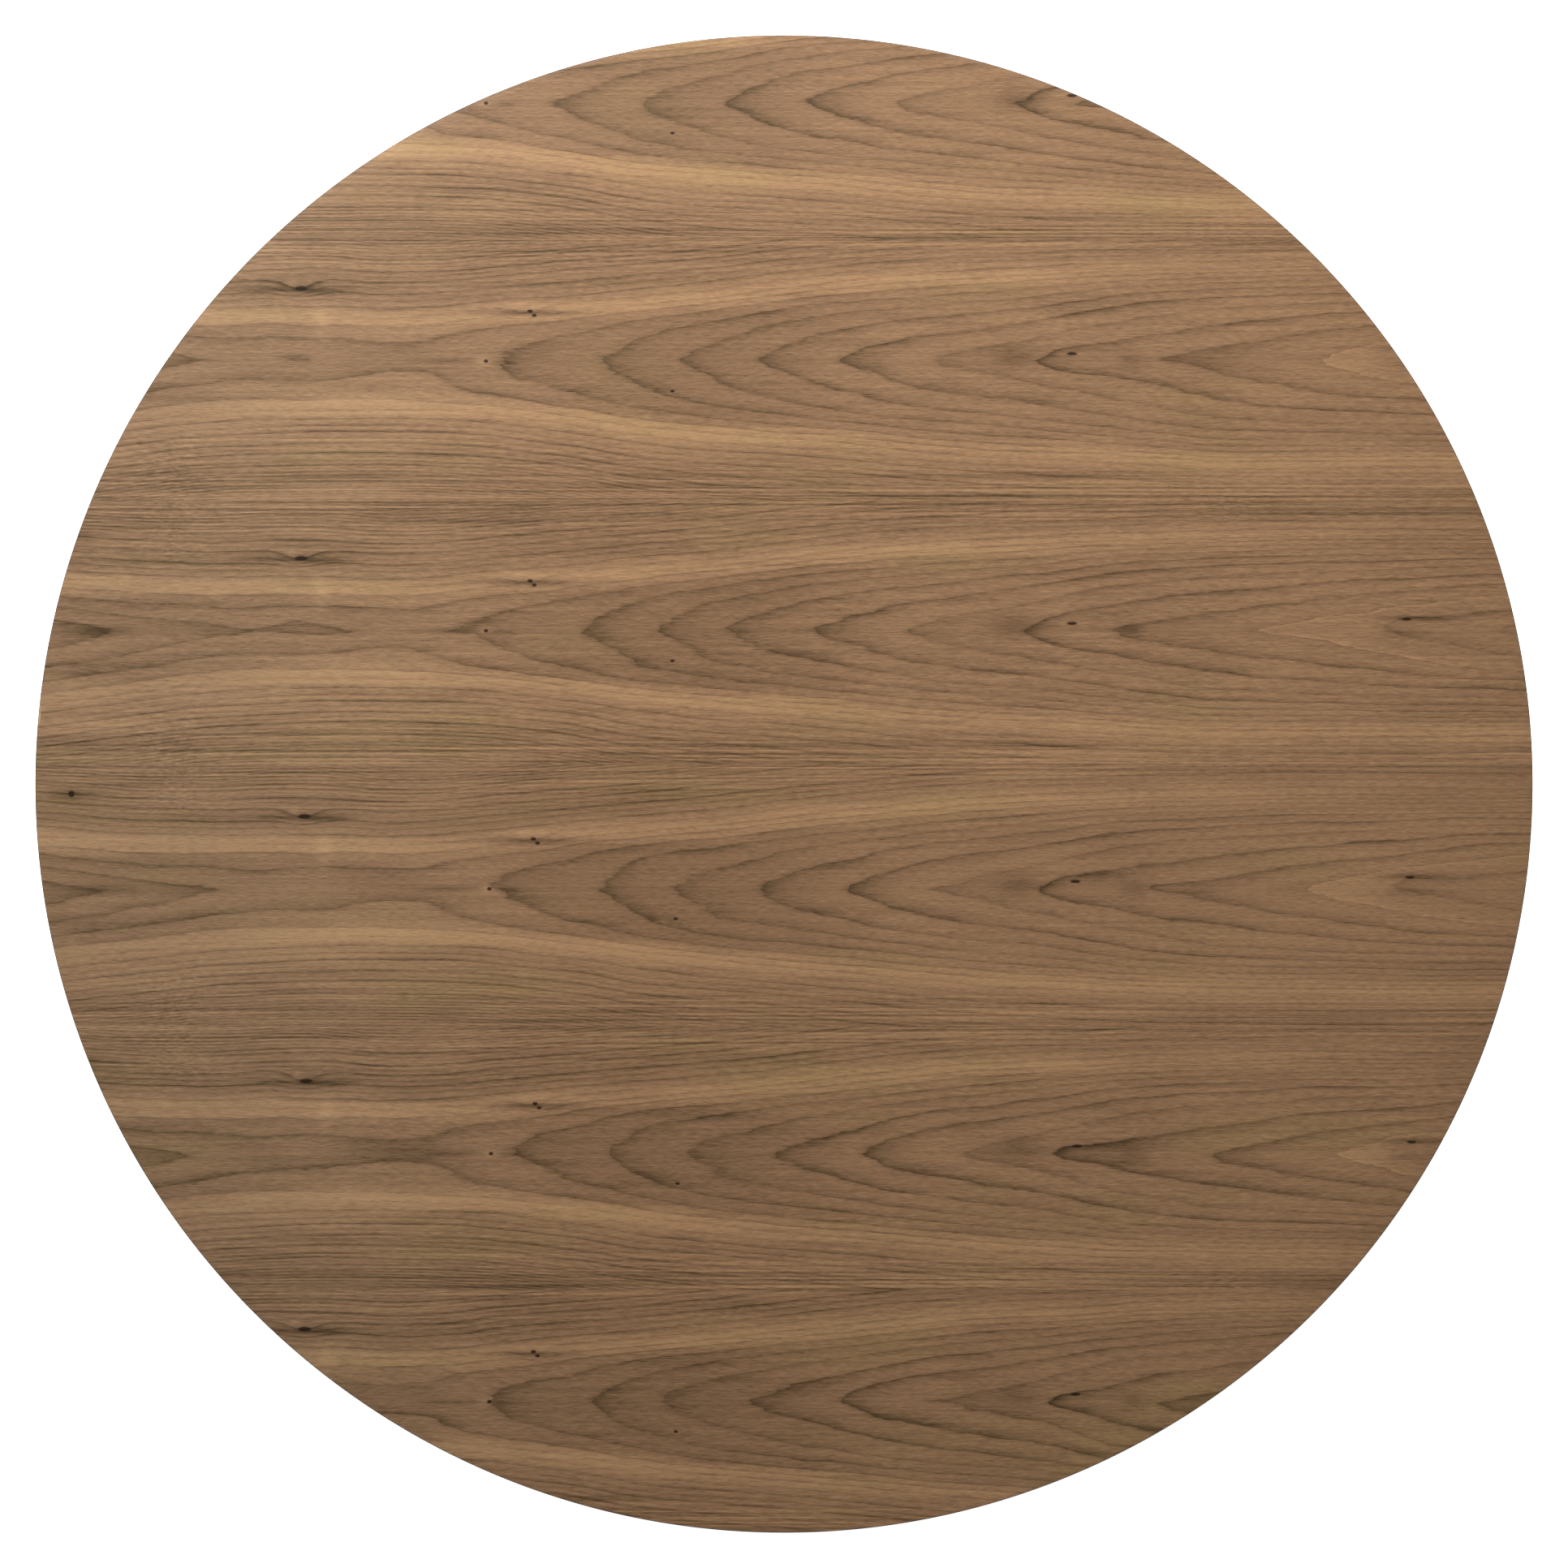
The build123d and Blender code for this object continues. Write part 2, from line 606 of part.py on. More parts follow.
def latch_hook():
    """Hook plate: its nose lies over the crossbar's rear edge, its tail takes the lever."""
    nose_bottom = CROSSBAR_Z[1] + 0.6
    arm_front = CROSSBAR_Y[1] + 1.0
    arm_back = arm_front + 11.0
    tail_back = SPRING_Y + 8
    with BuildPart() as hook:
        with BuildSketch(facing_x(-HOOK_HALF)):
            with BuildLine():
                Polyline(
                    (arm_front, LATCH_Z),
                    (arm_front, nose_bottom),
                    (arm_front - 8, nose_bottom),
                    (arm_front - 8, nose_bottom + 1.6),
                    (arm_back - 5, nose_bottom + 9),
                    (arm_back, nose_bottom + 6),
                    (arm_back, LATCH_Z + 8),
                    (tail_back, LATCH_Z + 6),
                    (tail_back, HOOK_TAIL_BOTTOM),
                    (LATCH_Y, HOOK_TAIL_BOTTOM),
                    close=True,
                )
            make_face()
            with Locations((LATCH_Y, LATCH_Z)):
                Circle(8.5)
        extrude(amount=2 * HOOK_HALF)
        with BuildSketch(facing_x(-HOOK_HALF)):
            with Locations((LATCH_Y, LATCH_Z)):
                Circle(LATCH_PIN_RADIUS + RUNNING_GAP)
        extrude(amount=2 * HOOK_HALF, mode=Mode.SUBTRACT)
        with BuildSketch(Plane.XZ.offset(-tail_back)):
            with Locations((0, LATCH_Z)):
                Circle(2.5)
        extrude(amount=14, mode=Mode.SUBTRACT)
    write(hook.part, "latch_hook")

    with BuildPart() as lever:
        with BuildSketch(Plane.XZ.offset(-tail_back)):
            with Locations((0, LATCH_Z)):
                Circle(2.5)
        extrude(amount=14)
        with BuildSketch(Plane.XZ.offset(-tail_back)):
            with Locations((0, LATCH_Z)):
                Circle(LEVER_RADIUS)
        extrude(amount=-(LEVER_END - 6 - tail_back))
    write(lever.part, "release_lever")

    with BuildPart() as grip:
        with BuildSketch(Plane.YZ):
            with BuildLine():
                neck = (GRIP_START, LATCH_Z + LEVER_RADIUS + 2)
                shoulder = (GRIP_START + 14, LATCH_Z + GRIP_RADIUS - 1)
                waist = ((GRIP_START + LEVER_END) / 2, LATCH_Z + GRIP_RADIUS - 2)
                heel = (LEVER_END - 8, LATCH_Z + GRIP_RADIUS)
                cap = (LEVER_END, LATCH_Z + GRIP_RADIUS - 8)
                Line((GRIP_START, LATCH_Z), neck)
                Spline(neck, shoulder, waist, heel)
                RadiusArc(heel, cap, 8)
                Polyline(cap, (LEVER_END, LATCH_Z), (GRIP_START, LATCH_Z))
            make_face()
        revolve(axis=Axis((0, 0, LATCH_Z), (0, 1, 0)))
        with BuildSketch(Plane.XZ.offset(-GRIP_START)):
            with Locations((0, LATCH_Z)):
                Circle(LEVER_RADIUS)
        extrude(amount=-(LEVER_END - 6 - GRIP_START), mode=Mode.SUBTRACT)
    write(grip.part, "lever_grip")


def latch_spring():
    """Compression spring between the bracket's floor and the hook's tail."""
    wire = 0.6
    coil_radius = 3.6
    gap = 0.15
    travel = HOOK_TAIL_BOTTOM - SPRING_SEAT - 2 * (wire + gap)
    with BuildPart() as coil:
        with BuildLine() as path:
            Helix(pitch=travel / 6, height=travel, radius=coil_radius)
        with BuildSketch(Plane(origin=path.line @ 0, z_dir=path.line % 0)):
            Circle(wire)
        sweep(path=path.line, is_frenet=True)
    with BuildPart() as spring:
        with Locations((0, SPRING_Y, SPRING_SEAT + wire + gap)):
            add(coil.part)
    write(spring.part, "latch_spring")


# ---- column and base --------------------------------------------------------------------------
def column():
    with BuildPart() as tube:
        with BuildSketch(facing_up(COLUMN_BOTTOM)):
            Circle(COLUMN_RADIUS)
            Circle(COLUMN_RADIUS - COLUMN_WALL, mode=Mode.SUBTRACT)
        extrude(amount=COLUMN_TOP - COLUMN_BOTTOM)
    write(tube.part, "column_tube")

    washer_bottom = HUB_ROOF - 3.0
    nut_bottom = washer_bottom - 10.0
    with BuildPart() as rod:
        with BuildSketch(facing_up(nut_bottom - 5)):
            Circle(TIE_RADIUS)
        extrude(amount=DECK_BOTTOM - 1 - nut_bottom + 5)
        chamfer(rod.edges().filter_by(GeomType.CIRCLE), length=1.0)
    write(rod.part, "tie_rod")
    with BuildPart() as washer:
        with BuildSketch(facing_up(washer_bottom)):
            Circle(17)
            Circle(TIE_RADIUS, mode=Mode.SUBTRACT)
        extrude(amount=HUB_ROOF - washer_bottom)
    write(washer.part, "tie_rod_washer")
    with BuildPart() as nut:
        with BuildSketch(facing_up(nut_bottom)):
            RegularPolygon(19 / 2, 6, major_radius=False)
            Circle(TIE_RADIUS, mode=Mode.SUBTRACT)
        extrude(amount=washer_bottom - nut_bottom)
    write(nut.part, "tie_rod_nut")


def base_hub():
    """Turned hub with four flats for the arms, a spigot for the column and a square cavity below."""
    spigot_top = COLUMN_BOTTOM + 14
    with BuildPart() as hub:
        with BuildSketch(facing_up(HUB_BOTTOM)):
            Circle(HUB_RADIUS)
            with Locations(Rotation(0, 0, 45)):
                Rectangle(2 * HUB_FLAT, 2 * HUB_FLAT, mode=Mode.INTERSECT)
        extrude(amount=COLUMN_BOTTOM - HUB_BOTTOM)
        chamfer(hub.faces().sort_by(Axis.Z)[-1].edges(), length=5)
        with BuildSketch(facing_up(COLUMN_BOTTOM)):
            Circle(COLUMN_RADIUS - COLUMN_WALL - 0.1)
        extrude(amount=spigot_top - COLUMN_BOTTOM)
        with BuildSketch(facing_up(HUB_BOTTOM)):
            with Locations(Rotation(0, 0, 45)):
                Rectangle(2 * HUB_CAVITY, 2 * HUB_CAVITY)
        extrude(amount=HUB_ROOF - HUB_BOTTOM, mode=Mode.SUBTRACT)
        with BuildSketch(facing_up(HUB_ROOF)):
            Circle(TIE_RADIUS + 0.5)
        extrude(amount=spigot_top - HUB_ROOF, mode=Mode.SUBTRACT)
        for angle in ARM_ANGLES.values():
            with BuildSketch(Plane.XY.rotated((0, 90, 0)).rotated((0, 0, angle))):
                with Locations(*[(-ARM_SCREW_Z, y) for y in (-ARM_SCREW_OFFSET, ARM_SCREW_OFFSET)]):
                    Circle(ARM_SCREW_RADIUS + 0.5)
            extrude(amount=HUB_RADIUS, mode=Mode.SUBTRACT)
    write(hub.part, "base_hub")

    with BuildPart() as cover:
        with BuildSketch(facing_up(HUB_BOTTOM - 2)):
            with Locations(Rotation(0, 0, 45)):
                RectangleRounded(2 * HUB_CAVITY + 12, 2 * HUB_CAVITY + 12, 5)
        extrude(amount=2)
        with BuildSketch(facing_up(HUB_BOTTOM)):
            with Locations(Rotation(0, 0, 45)):
                Rectangle(2 * HUB_CAVITY - 0.4, 2 * HUB_CAVITY - 0.4)
                Rectangle(2 * HUB_CAVITY - 4.4, 2 * HUB_CAVITY - 4.4, mode=Mode.SUBTRACT)
        extrude(amount=6)
    write(cover.part, "hub_cover")


def tapered_arm(inset, start):
    """Arm body along +X from start, inset all round: a tapering plan, cut by a sloping top."""
    slope = (ARM_ROOT_HEIGHT - ARM_TIP_HEIGHT) / (ARM_REACH - HUB_FLAT)
    top_at_start = ARM_BOTTOM + ARM_ROOT_HEIGHT - inset - slope * (start - HUB_FLAT)
    with BuildPart() as body:
        with BuildSketch(facing_up(ARM_BOTTOM)):
            with Locations((start + 0.5, 0)):
                Rectangle(1, ARM_ROOT_WIDTH - 2 * inset)
            with Locations((GLIDE_R, 0)):
                Circle(ARM_TIP_RADIUS - inset)
            make_hull()
        extrude(amount=ARM_ROOT_HEIGHT)
        split(
            bisect_by=Plane(origin=(start, 0, top_at_start), x_dir=(0, 1, 0), z_dir=(slope, 0, 1)),
            keep=Keep.BOTTOM,
        )
    return body.part


def base_arms():
    """Four cast arms, hollow below, each with a root block and a boss for its glide."""
    root_block = HUB_FLAT + 34
    outer = tapered_arm(0, HUB_FLAT)
    hollow = tapered_arm(ARM_WALL, root_block)
    with BuildPart() as pocket:
        add(hollow)
        with BuildSketch(facing_up(ARM_BOTTOM)):
            with Locations((GLIDE_R, 0)):
                Circle(11)
        extrude(amount=ARM_ROOT_HEIGHT, mode=Mode.SUBTRACT)
    with BuildPart() as arm:
        add(outer)
        top_face = arm.faces().sort_by(Axis.Z)[-1]
        fillet(top_face.edges().filter_by(lambda e: e.center().X > HUB_FLAT + 1), radius=5)
        add(pocket.part, mode=Mode.SUBTRACT)
        with BuildSketch(facing_x(HUB_FLAT)):
            with Locations(*[(y, ARM_SCREW_Z) for y in (-ARM_SCREW_OFFSET, ARM_SCREW_OFFSET)]):
                Circle(ARM_SCREW_RADIUS)
        extrude(amount=ARM_SCREW_END - HUB_FLAT, mode=Mode.SUBTRACT)
        with BuildSketch(facing_up(ARM_BOTTOM)):
            with Locations((GLIDE_R, 0)):
                Circle(STUD_RADIUS + RUNNING_GAP)
        extrude(amount=STUD_TOP + 1 - ARM_BOTTOM, mode=Mode.SUBTRACT)
    for name, angle in ARM_ANGLES.items():
        with BuildPart() as placed:
            with Locations(Rotation(0, 0, angle)):
                add(arm.part)
        write(placed.part, f"base_arm_{name}")

    head_height = 8.0
    with BuildPart() as cap_screw:
        with BuildSketch(Plane.YZ.offset(HUB_CAVITY - head_height)):
            Circle(6.5)
            RegularPolygon(3.4, 6, mode=Mode.SUBTRACT)
        extrude(amount=head_height)
        with BuildSketch(Plane.YZ.offset(HUB_CAVITY - head_height / 2)):
            Circle(ARM_SCREW_RADIUS)
        extrude(amount=ARM_SCREW_END - HUB_CAVITY + head_height / 2)
    with BuildPart() as screws:
        for angle in ARM_ANGLES.values():
            for side in (-1, 1):
                across = side * ARM_SCREW_OFFSET
                place = Rotation(0, 0, angle) * Location((0, across, ARM_SCREW_Z))
                with Locations(place):
                    add(cap_screw.part)
    write(screws.part, "arm_screws")


def glides():
    """Four levelling glides: a threaded stud with a hexagon, on a swivelling foot."""
    hex_bottom = FOOT_HEIGHT + 3
    hex_top = ARM_BOTTOM - 0.3
    seat = FOOT_HEIGHT - 3
    with BuildPart() as stud:
        with BuildSketch(facing_up(seat)):
            Circle(6)
        extrude(amount=3)
        with BuildSketch(facing_up(FOOT_HEIGHT)):
            Circle(STUD_RADIUS)
        extrude(amount=STUD_TOP - FOOT_HEIGHT)
        chamfer(stud.faces().sort_by(Axis.Z)[-1].edges(), length=0.8)
        with BuildSketch(facing_up(hex_bottom)):
            RegularPolygon(13 / 2, 6, major_radius=False)
        extrude(amount=hex_top - hex_bottom)
    with BuildPart() as foot:
        with BuildSketch(Plane.XZ):
            with BuildLine():
                Polyline(
                    (0, 0),
                    (FOOT_RADIUS - 1, 0),
                    (FOOT_RADIUS, 1),
                    (FOOT_RADIUS, 3.5),
                    (FOOT_RADIUS - 6, FOOT_HEIGHT),
                    (6, FOOT_HEIGHT),
                    (6, seat),
                    (0, seat),
                    close=True,
                )
            make_face()
        revolve(axis=Axis.Z)
    for name, angle in ARM_ANGLES.items():
        place = Location((GLIDE_R * cos(radians(angle)), GLIDE_R * sin(radians(angle)), 0))
        for piece, label in ((stud.part, "glide_stud"), (foot.part, "glide_foot")):
            with BuildPart() as placed:
                with Locations(place):
                    add(piece)
            write(placed.part, f"{label}_{name}")


def main():
    os.makedirs("parts", exist_ok=True)
    face_veneer()
    core_board()
    backer_sheet()
    bearers()
    crossbar()
    frame_screws()
    tilt_shaft()
    tilt_head()
    head_fittings()
    latch_bracket()
    latch_pin()
    latch_hook()
    latch_spring()
    column()
    base_hub()
    base_arms()
    glides()


main()
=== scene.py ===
import json
import math

import bpy
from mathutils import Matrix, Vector


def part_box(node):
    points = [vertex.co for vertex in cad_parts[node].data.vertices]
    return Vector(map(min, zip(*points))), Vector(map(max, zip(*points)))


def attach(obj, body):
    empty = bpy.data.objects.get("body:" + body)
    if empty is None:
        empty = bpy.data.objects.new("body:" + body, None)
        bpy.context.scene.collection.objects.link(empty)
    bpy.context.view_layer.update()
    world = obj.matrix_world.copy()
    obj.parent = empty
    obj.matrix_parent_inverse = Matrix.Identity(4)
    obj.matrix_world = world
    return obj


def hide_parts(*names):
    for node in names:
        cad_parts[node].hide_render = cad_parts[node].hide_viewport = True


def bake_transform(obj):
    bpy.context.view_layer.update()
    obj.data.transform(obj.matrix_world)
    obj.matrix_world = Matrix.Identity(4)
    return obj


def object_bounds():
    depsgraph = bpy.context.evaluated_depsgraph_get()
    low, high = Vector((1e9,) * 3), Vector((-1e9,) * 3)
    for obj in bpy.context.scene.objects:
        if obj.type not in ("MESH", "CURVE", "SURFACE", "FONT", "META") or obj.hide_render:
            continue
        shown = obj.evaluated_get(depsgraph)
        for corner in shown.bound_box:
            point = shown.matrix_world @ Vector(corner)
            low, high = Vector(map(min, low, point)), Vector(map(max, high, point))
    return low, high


# Looks for the tilt-top table: procedural materials, finer meshes in place of 14 CAD nodes, a studio.
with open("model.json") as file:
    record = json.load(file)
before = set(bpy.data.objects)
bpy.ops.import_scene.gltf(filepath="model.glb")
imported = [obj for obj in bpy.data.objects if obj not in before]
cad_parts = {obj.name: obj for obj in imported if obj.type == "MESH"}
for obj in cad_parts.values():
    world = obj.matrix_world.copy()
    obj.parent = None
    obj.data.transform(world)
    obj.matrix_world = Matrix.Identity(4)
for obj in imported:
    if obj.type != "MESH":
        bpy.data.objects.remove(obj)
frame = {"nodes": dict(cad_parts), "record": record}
CAD_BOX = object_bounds()
MM = 0.001


# ---- node building ------------------------------------------------------------------------------
class Graph:
    """A material's node tree. The methods for values add nodes and return an output socket."""

    def __init__(self, name):
        self.material = bpy.data.materials.new(name)
        self.material.use_nodes = True
        self.tree = self.material.node_tree
        self.shader = self.tree.nodes["Principled BSDF"]
        self.coords = self.tree.nodes.new("ShaderNodeTexCoord").outputs["Object"]

    def node(self, kind, inputs, **settings):
        """Add a node, with a plain value or an output socket for each input that is given."""
        made = self.tree.nodes.new(kind)
        for key, value in settings.items():
            setattr(made, key, value)
        for key, value in inputs.items():
            self.put(made.inputs[key], value)
        return made

    def put(self, socket, value):
        """Link an output socket to an input, or set a plain value on it."""
        if isinstance(value, bpy.types.NodeSocket):
            self.tree.links.new(value, socket)
        else:
            socket.default_value = value

    def math(self, operation, *values):
        return self.node("ShaderNodeMath", dict(enumerate(values)), operation=operation).outputs[0]

    def add(self, *values):
        total = values[0]
        for value in values[1:]:
            total = self.math("ADD", total, value)
        return total

    def minus(self, a, b):
        return self.math("SUBTRACT", a, b)

    def times(self, a, b):
        return self.math("MULTIPLY", a, b)

    def over(self, a, b):
        return self.math("DIVIDE", a, b)

    def fall(self, value, rate):
        """1 where the value is 0, and nearer to 0 the higher it is."""
        return self.math("EXPONENT", self.times(value, -rate))

    def scaled(self, vector, factors):
        made = self.node("ShaderNodeVectorMath", {0: vector, 1: factors}, operation="MULTIPLY")
        return made.outputs[0]

    def split(self, vector):
        return self.node("ShaderNodeSeparateXYZ", {0: vector}).outputs

    def joined(self, x, y, z):
        return self.node("ShaderNodeCombineXYZ", {0: x, 1: y, 2: z}).outputs[0]

    def noise(self, vector, detail, roughness=0.5):
        """Noise centred on 0, about -0.5 to 0.5, one cell per unit of the vector."""
        made = self.node(
            "ShaderNodeTexNoise",
            {"Vector": vector, "Scale": 1.0, "Detail": detail, "Roughness": roughness},
        )
        return self.minus(made.outputs[0], 0.5)

    def grain_noise(self, size, detail, roughness=0.5):
        """Noise in object space with cells of the given size in metres along X, Y and Z."""
        factors = tuple(1.0 / s for s in size)
        return self.noise(self.scaled(self.coords, factors), detail, roughness)

    def smooth(self, value, low, high, to_low=0.0, to_high=1.0):
        """An eased step from to_low, where the value is low or less, to to_high."""
        made = self.node(
            "ShaderNodeMapRange",
            {"Value": value, "From Min": low, "From Max": high, "To Min": to_low, "To Max": to_high},
            interpolation_type="SMOOTHSTEP",
        )
        return made.outputs[0]

    def straight(self, value, low, high):
        """0 where the value is low or less, 1 where it is high or more, and even between."""
        made = self.node("ShaderNodeMapRange", {"Value": value, "From Min": low, "From Max": high})
        return made.outputs[0]

    def curve(self, value, low, high, stations):
        """A smooth curve through (where, height) stations, with heights from 0 to 1."""
        made = self.node("ShaderNodeFloatCurve", {"Value": self.straight(value, low, high)})
        line = made.mapping.curves[0]
        spots = [((where - low) / (high - low), height) for where, height in stations]
        while len(line.points) < len(spots):
            line.points.new(0.5, 0.5)
        for point, spot in zip(line.points, spots):
            point.location = spot
        made.mapping.update()
        return made.outputs[0]

    def ramp(self, value, stops):
        made = self.node("ShaderNodeValToRGB", {"Fac": value})
        points = made.color_ramp.elements
        while len(points) < len(stops):
            points.new(0.5)
        for point, (place, colour) in zip(points, stops):
            point.position = place
            point.color = (*colour, 1.0)
        return made.outputs[0]

    def mix(self, factor, a, b, blend="MIX"):
        """Mix two colours: the node's colour sockets are inputs 6 and 7 and output 2."""
        made = self.node("ShaderNodeMix", {0: factor}, data_type="RGBA", blend_type=blend)
        self.put(made.inputs[6], a)
        self.put(made.inputs[7], b)
        return made.outputs[2]

    def bump(self, height, depth):
        """Surface relief: a height of 1 stands depth metres proud."""
        made = self.node("ShaderNodeBump", {"Height": height, "Distance": depth, "Strength": 1.0})
        self.tree.links.new(made.outputs[0], self.shader.inputs["Normal"])

    def finish(self, **values):
        """Set the shader's inputs, named with _ for spaces, and return the material."""
        for name, value in values.items():
            self.put(self.shader.inputs[name.replace("_", " ")], value)
        return self.material


def srgb(red, green, blue):
    """Linear colour from 0-255 display values."""
    def linear(c):
        c = c / 255
        return c / 12.92 if c <= 0.04045 else ((c + 0.055) / 1.055) ** 2.4
    return (linear(red), linear(green), linear(blue))


# ---- walnut veneer --------------------------------------------------------------------------------
# Flat-cut leaves, slip-matched: each leaf repeats its neighbour, a little deeper into the log.
# Along a leaf the knife's depth above the log's heart changes, and a ring surfaces as an arch
# wherever that depth passes a whole ring. A tan band runs down each side of the arches, and the
# rings beyond it lie straight and crowd together towards the seams.
RINGS_LOW, RINGS_SPAN = 10.0, 34.0
KNIFE_DEPTH = (  # mm along the leaf, rings above the heart
    (-450, 20.3), (-425, 20.6), (-399, 21.0), (-360, 21.6), (-330, 21.94), (-316, 22.02),
    (-290, 21.94), (-267, 22.0), (-228, 22.32), (-190, 21.84), (-124, 21.0), (-80, 20.0),
    (-29, 19.0), (22, 18.0), (71, 17.0), (149, 16.0), (200, 15.0), (296, 14.0), (356, 13.0),
    (422, 12.0), (450, 11.6),
)
BAND_RING = ((-450, 24.6), (-228, 24.6), (17, 23.6), (200, 23.2), (450, 23.6))  # ring under the band
BAND_REACH = 80.0  # mm, no band lies further out than this
REAR_BAND = (  # mm along the leaf, mm from the heart line to the band on its rear side
    (-450, 30), (-350, 26), (-289, 27.5), (-228, 24.5), (-167, 28.5), (-75, 35),
    (17, 43.5), (90, 50), (181, 53.5), (300, 57), (450, 58),
)
FRONT_BAND = (  # the same on its front side
    (-450, 42), (-400, 36), (-320, 28.5), (-228, 27), (-136, 33), (-75, 40.5),
    (17, 46.7), (150, 56), (300, 60.5), (450, 61.5),
)
REAR_GLOW = (  # mm along the leaf, brightness of the rear band
    (-450, 0.70), (-400, 0.60), (-300, 0.56), (-180, 0.58), (-60, 0.72), (60, 0.78),
    (130, 0.80), (180, 0.60), (260, 0.52), (330, 0.30), (400, 0.0), (450, 0.0),
)
FRONT_GLOW = (  # the same for the front band
    (-450, 0.5), (-400, 0.2), (-360, 0.3), (-300, 0.75), (-240, 1.0), (-180, 1.0),
    (-60, 0.95), (60, 0.75), (240, 0.80), (300, 0.60), (360, 0.75), (450, 0.7),
)
HEART_TONE = (  # mm along the leaf, how far the wood between the bands is darkened
    (-450, 0.80), (-300, 0.60), (-240, 0.30), (-180, 0.35), (-60, 0.90), (0, 0.60),
    (60, 0.20), (180, 0.10), (300, 0.0), (450, 0.0),
)
REAR_FLANK = (  # mm along the leaf, how dark the wood lies behind the rear band and at the seams
    (-450, 1.0), (-300, 1.0), (-180, 0.85), (-60, 0.60), (60, 0.25), (450, 0.35),
)
# How the rings climb from the heart line (0) to the band (1): blunt arches and keen ones.
BLUNT = ((0, 0.0), (0.2, 0.04), (0.5, 0.15), (0.7, 0.31), (0.85, 0.56), (1.0, 1.0))
KEEN = ((0, 0.0), (0.16, 0.11), (0.42, 0.33), (0.64, 0.56), (0.8, 0.77), (1.0, 1.0))
KEENNESS = (  # mm along the leaf, how keen its arches are
    (-450, 0.9), (-330, 0.85), (-228, 0.45), (-150, 0.25), (-20, 0.35), (120, 0.55),
    (200, 0.45), (290, 0.35), (360, 0.45), (450, 0.5),
)
CROWDING = (  # mm past the band, rings past it
    (0, 0.0), (10, 2.0), (20, 4.6), (30, 8.0), (40, 12.5), (60, 24.0),
)
RING_WEIGHTS = (  # ring, darkness of its latewood
    (10, 0.3), (12, 0.25), (13, 0.45), (14, 0.05), (15, 0.85), (16, 1.0), (17, 0.5), (18, 0.9),
    (19, 0.75), (20, 0.55), (21, 0.7), (22, 0.7), (23, 0.75), (24, 0.6), (25, 0.4), (26, 0.75),
    (27, 0.5), (28, 0.85), (29, 0.4), (30, 0.8), (31, 0.5), (32, 1.0), (33, 0.4), (34, 0.7),
    (35, 0.9), (36, 0.5), (38, 0.9), (44, 0.6),
)
PALE_RING = 14  # ends in a pale edge, not a dark line
# Leaf by leaf from the front: line of the heart, mm; rings deeper; drift of the figure, mm.
LEAVES = (
    (-371.0, 0.17, 2.0), (-222.0, 0.40, 3.0), (-63.0, 0.20, 2.0),
    (92.0, 0.00, 0.0), (254.0, 0.28, 0.0), (409.0, -0.20, 0.0),
)
KNOTS = (  # mm along and across from the heart line; half-length, half-width; push on the rings
    (-291.0, 44.0, 14.0, 6.0, 1.6),
    (-284.0, 24.0, 13.0, 9.0, 0.30),
    (-152.0, 29.0, 14.0, 5.0, 0.8),
    (-294.0, 5.5, 22.0, 6.0, -0.30),
    (-231.0, -11.0, 44.0, 6.5, 0.30),
    (-179.0, 0.0, 12.0, 5.0, 0.10),
    (168.0, 1.5, 17.0, 9.0, -0.32),
    (374.0, 7.0, 18.0, 5.0, -0.4),
)
PINS = (  # bark-coloured knot hearts: along, across, half-length, half-width
    (-290.0, 43.5, 4.0, 1.5),
    (-152.5, 30.0, 1.7, 1.1),
    (-150.0, 27.5, 1.5, 1.0),
    (-179.0, 0.0, 1.4, 1.1),
    (-67.0, -18.0, 1.4, 0.9),
    (173.0, 4.5, 3.2, 1.0),
    (374.0, 7.0, 3.0, 0.9),
    (-430.0, 57.0, 2.0, 2.0),
)
SHADES = (  # smudges and flames: along, across, half-length, half-width, change of tone
    (-280.0, 42.5, 16.0, 2.2, -0.30),
    (-306.0, 43.0, 18.0, 1.6, -0.22),
    (-296.0, 47.0, 3.0, 3.5, 0.10),
    (-278.0, 24.0, 5.0, 9.0, 0.11),
    (-153.0, 28.8, 26.0, 1.7, -0.32),
    (-158.0, 35.0, 10.0, 3.0, 0.08),
    (-204.0, 0.0, 18.0, 1.8, -0.20),
    (-167.0, -0.8, 9.0, 1.4, -0.14),
    (-180.0, 0.0, 5.5, 2.4, 0.16),
    (-430.0, 57.0, 14.0, 3.5, -0.25),
    (138.0, 3.0, 13.0, 7.0, -0.15),
    (208.0, 0.0, 8.0, 5.0, -0.14),
    (380.0, 7.5, 23.0, 1.9, -0.26),
    (372.0, -1.5, 14.0, 3.0, -0.10),
    (342.0, -2.0, 20.0, 6.0, 0.05),
    (-412.0, 0.0, 22.0, 3.0, -0.22),
    (-385.0, 16.0, 60.0, 3.5, -0.12),
    (-405.0, -21.0, 50.0, 4.5, -0.12),
    (-255.0, 1.0, 18.0, 9.0, -0.05),
)
# Flecks: a painted sheen, light and dark stripes in the colour where wavy grain catches the light.
FLECKS = ((-368.0, 24.0), (265.0, 30.0))  # along and half-length, where wavy grain catches the light

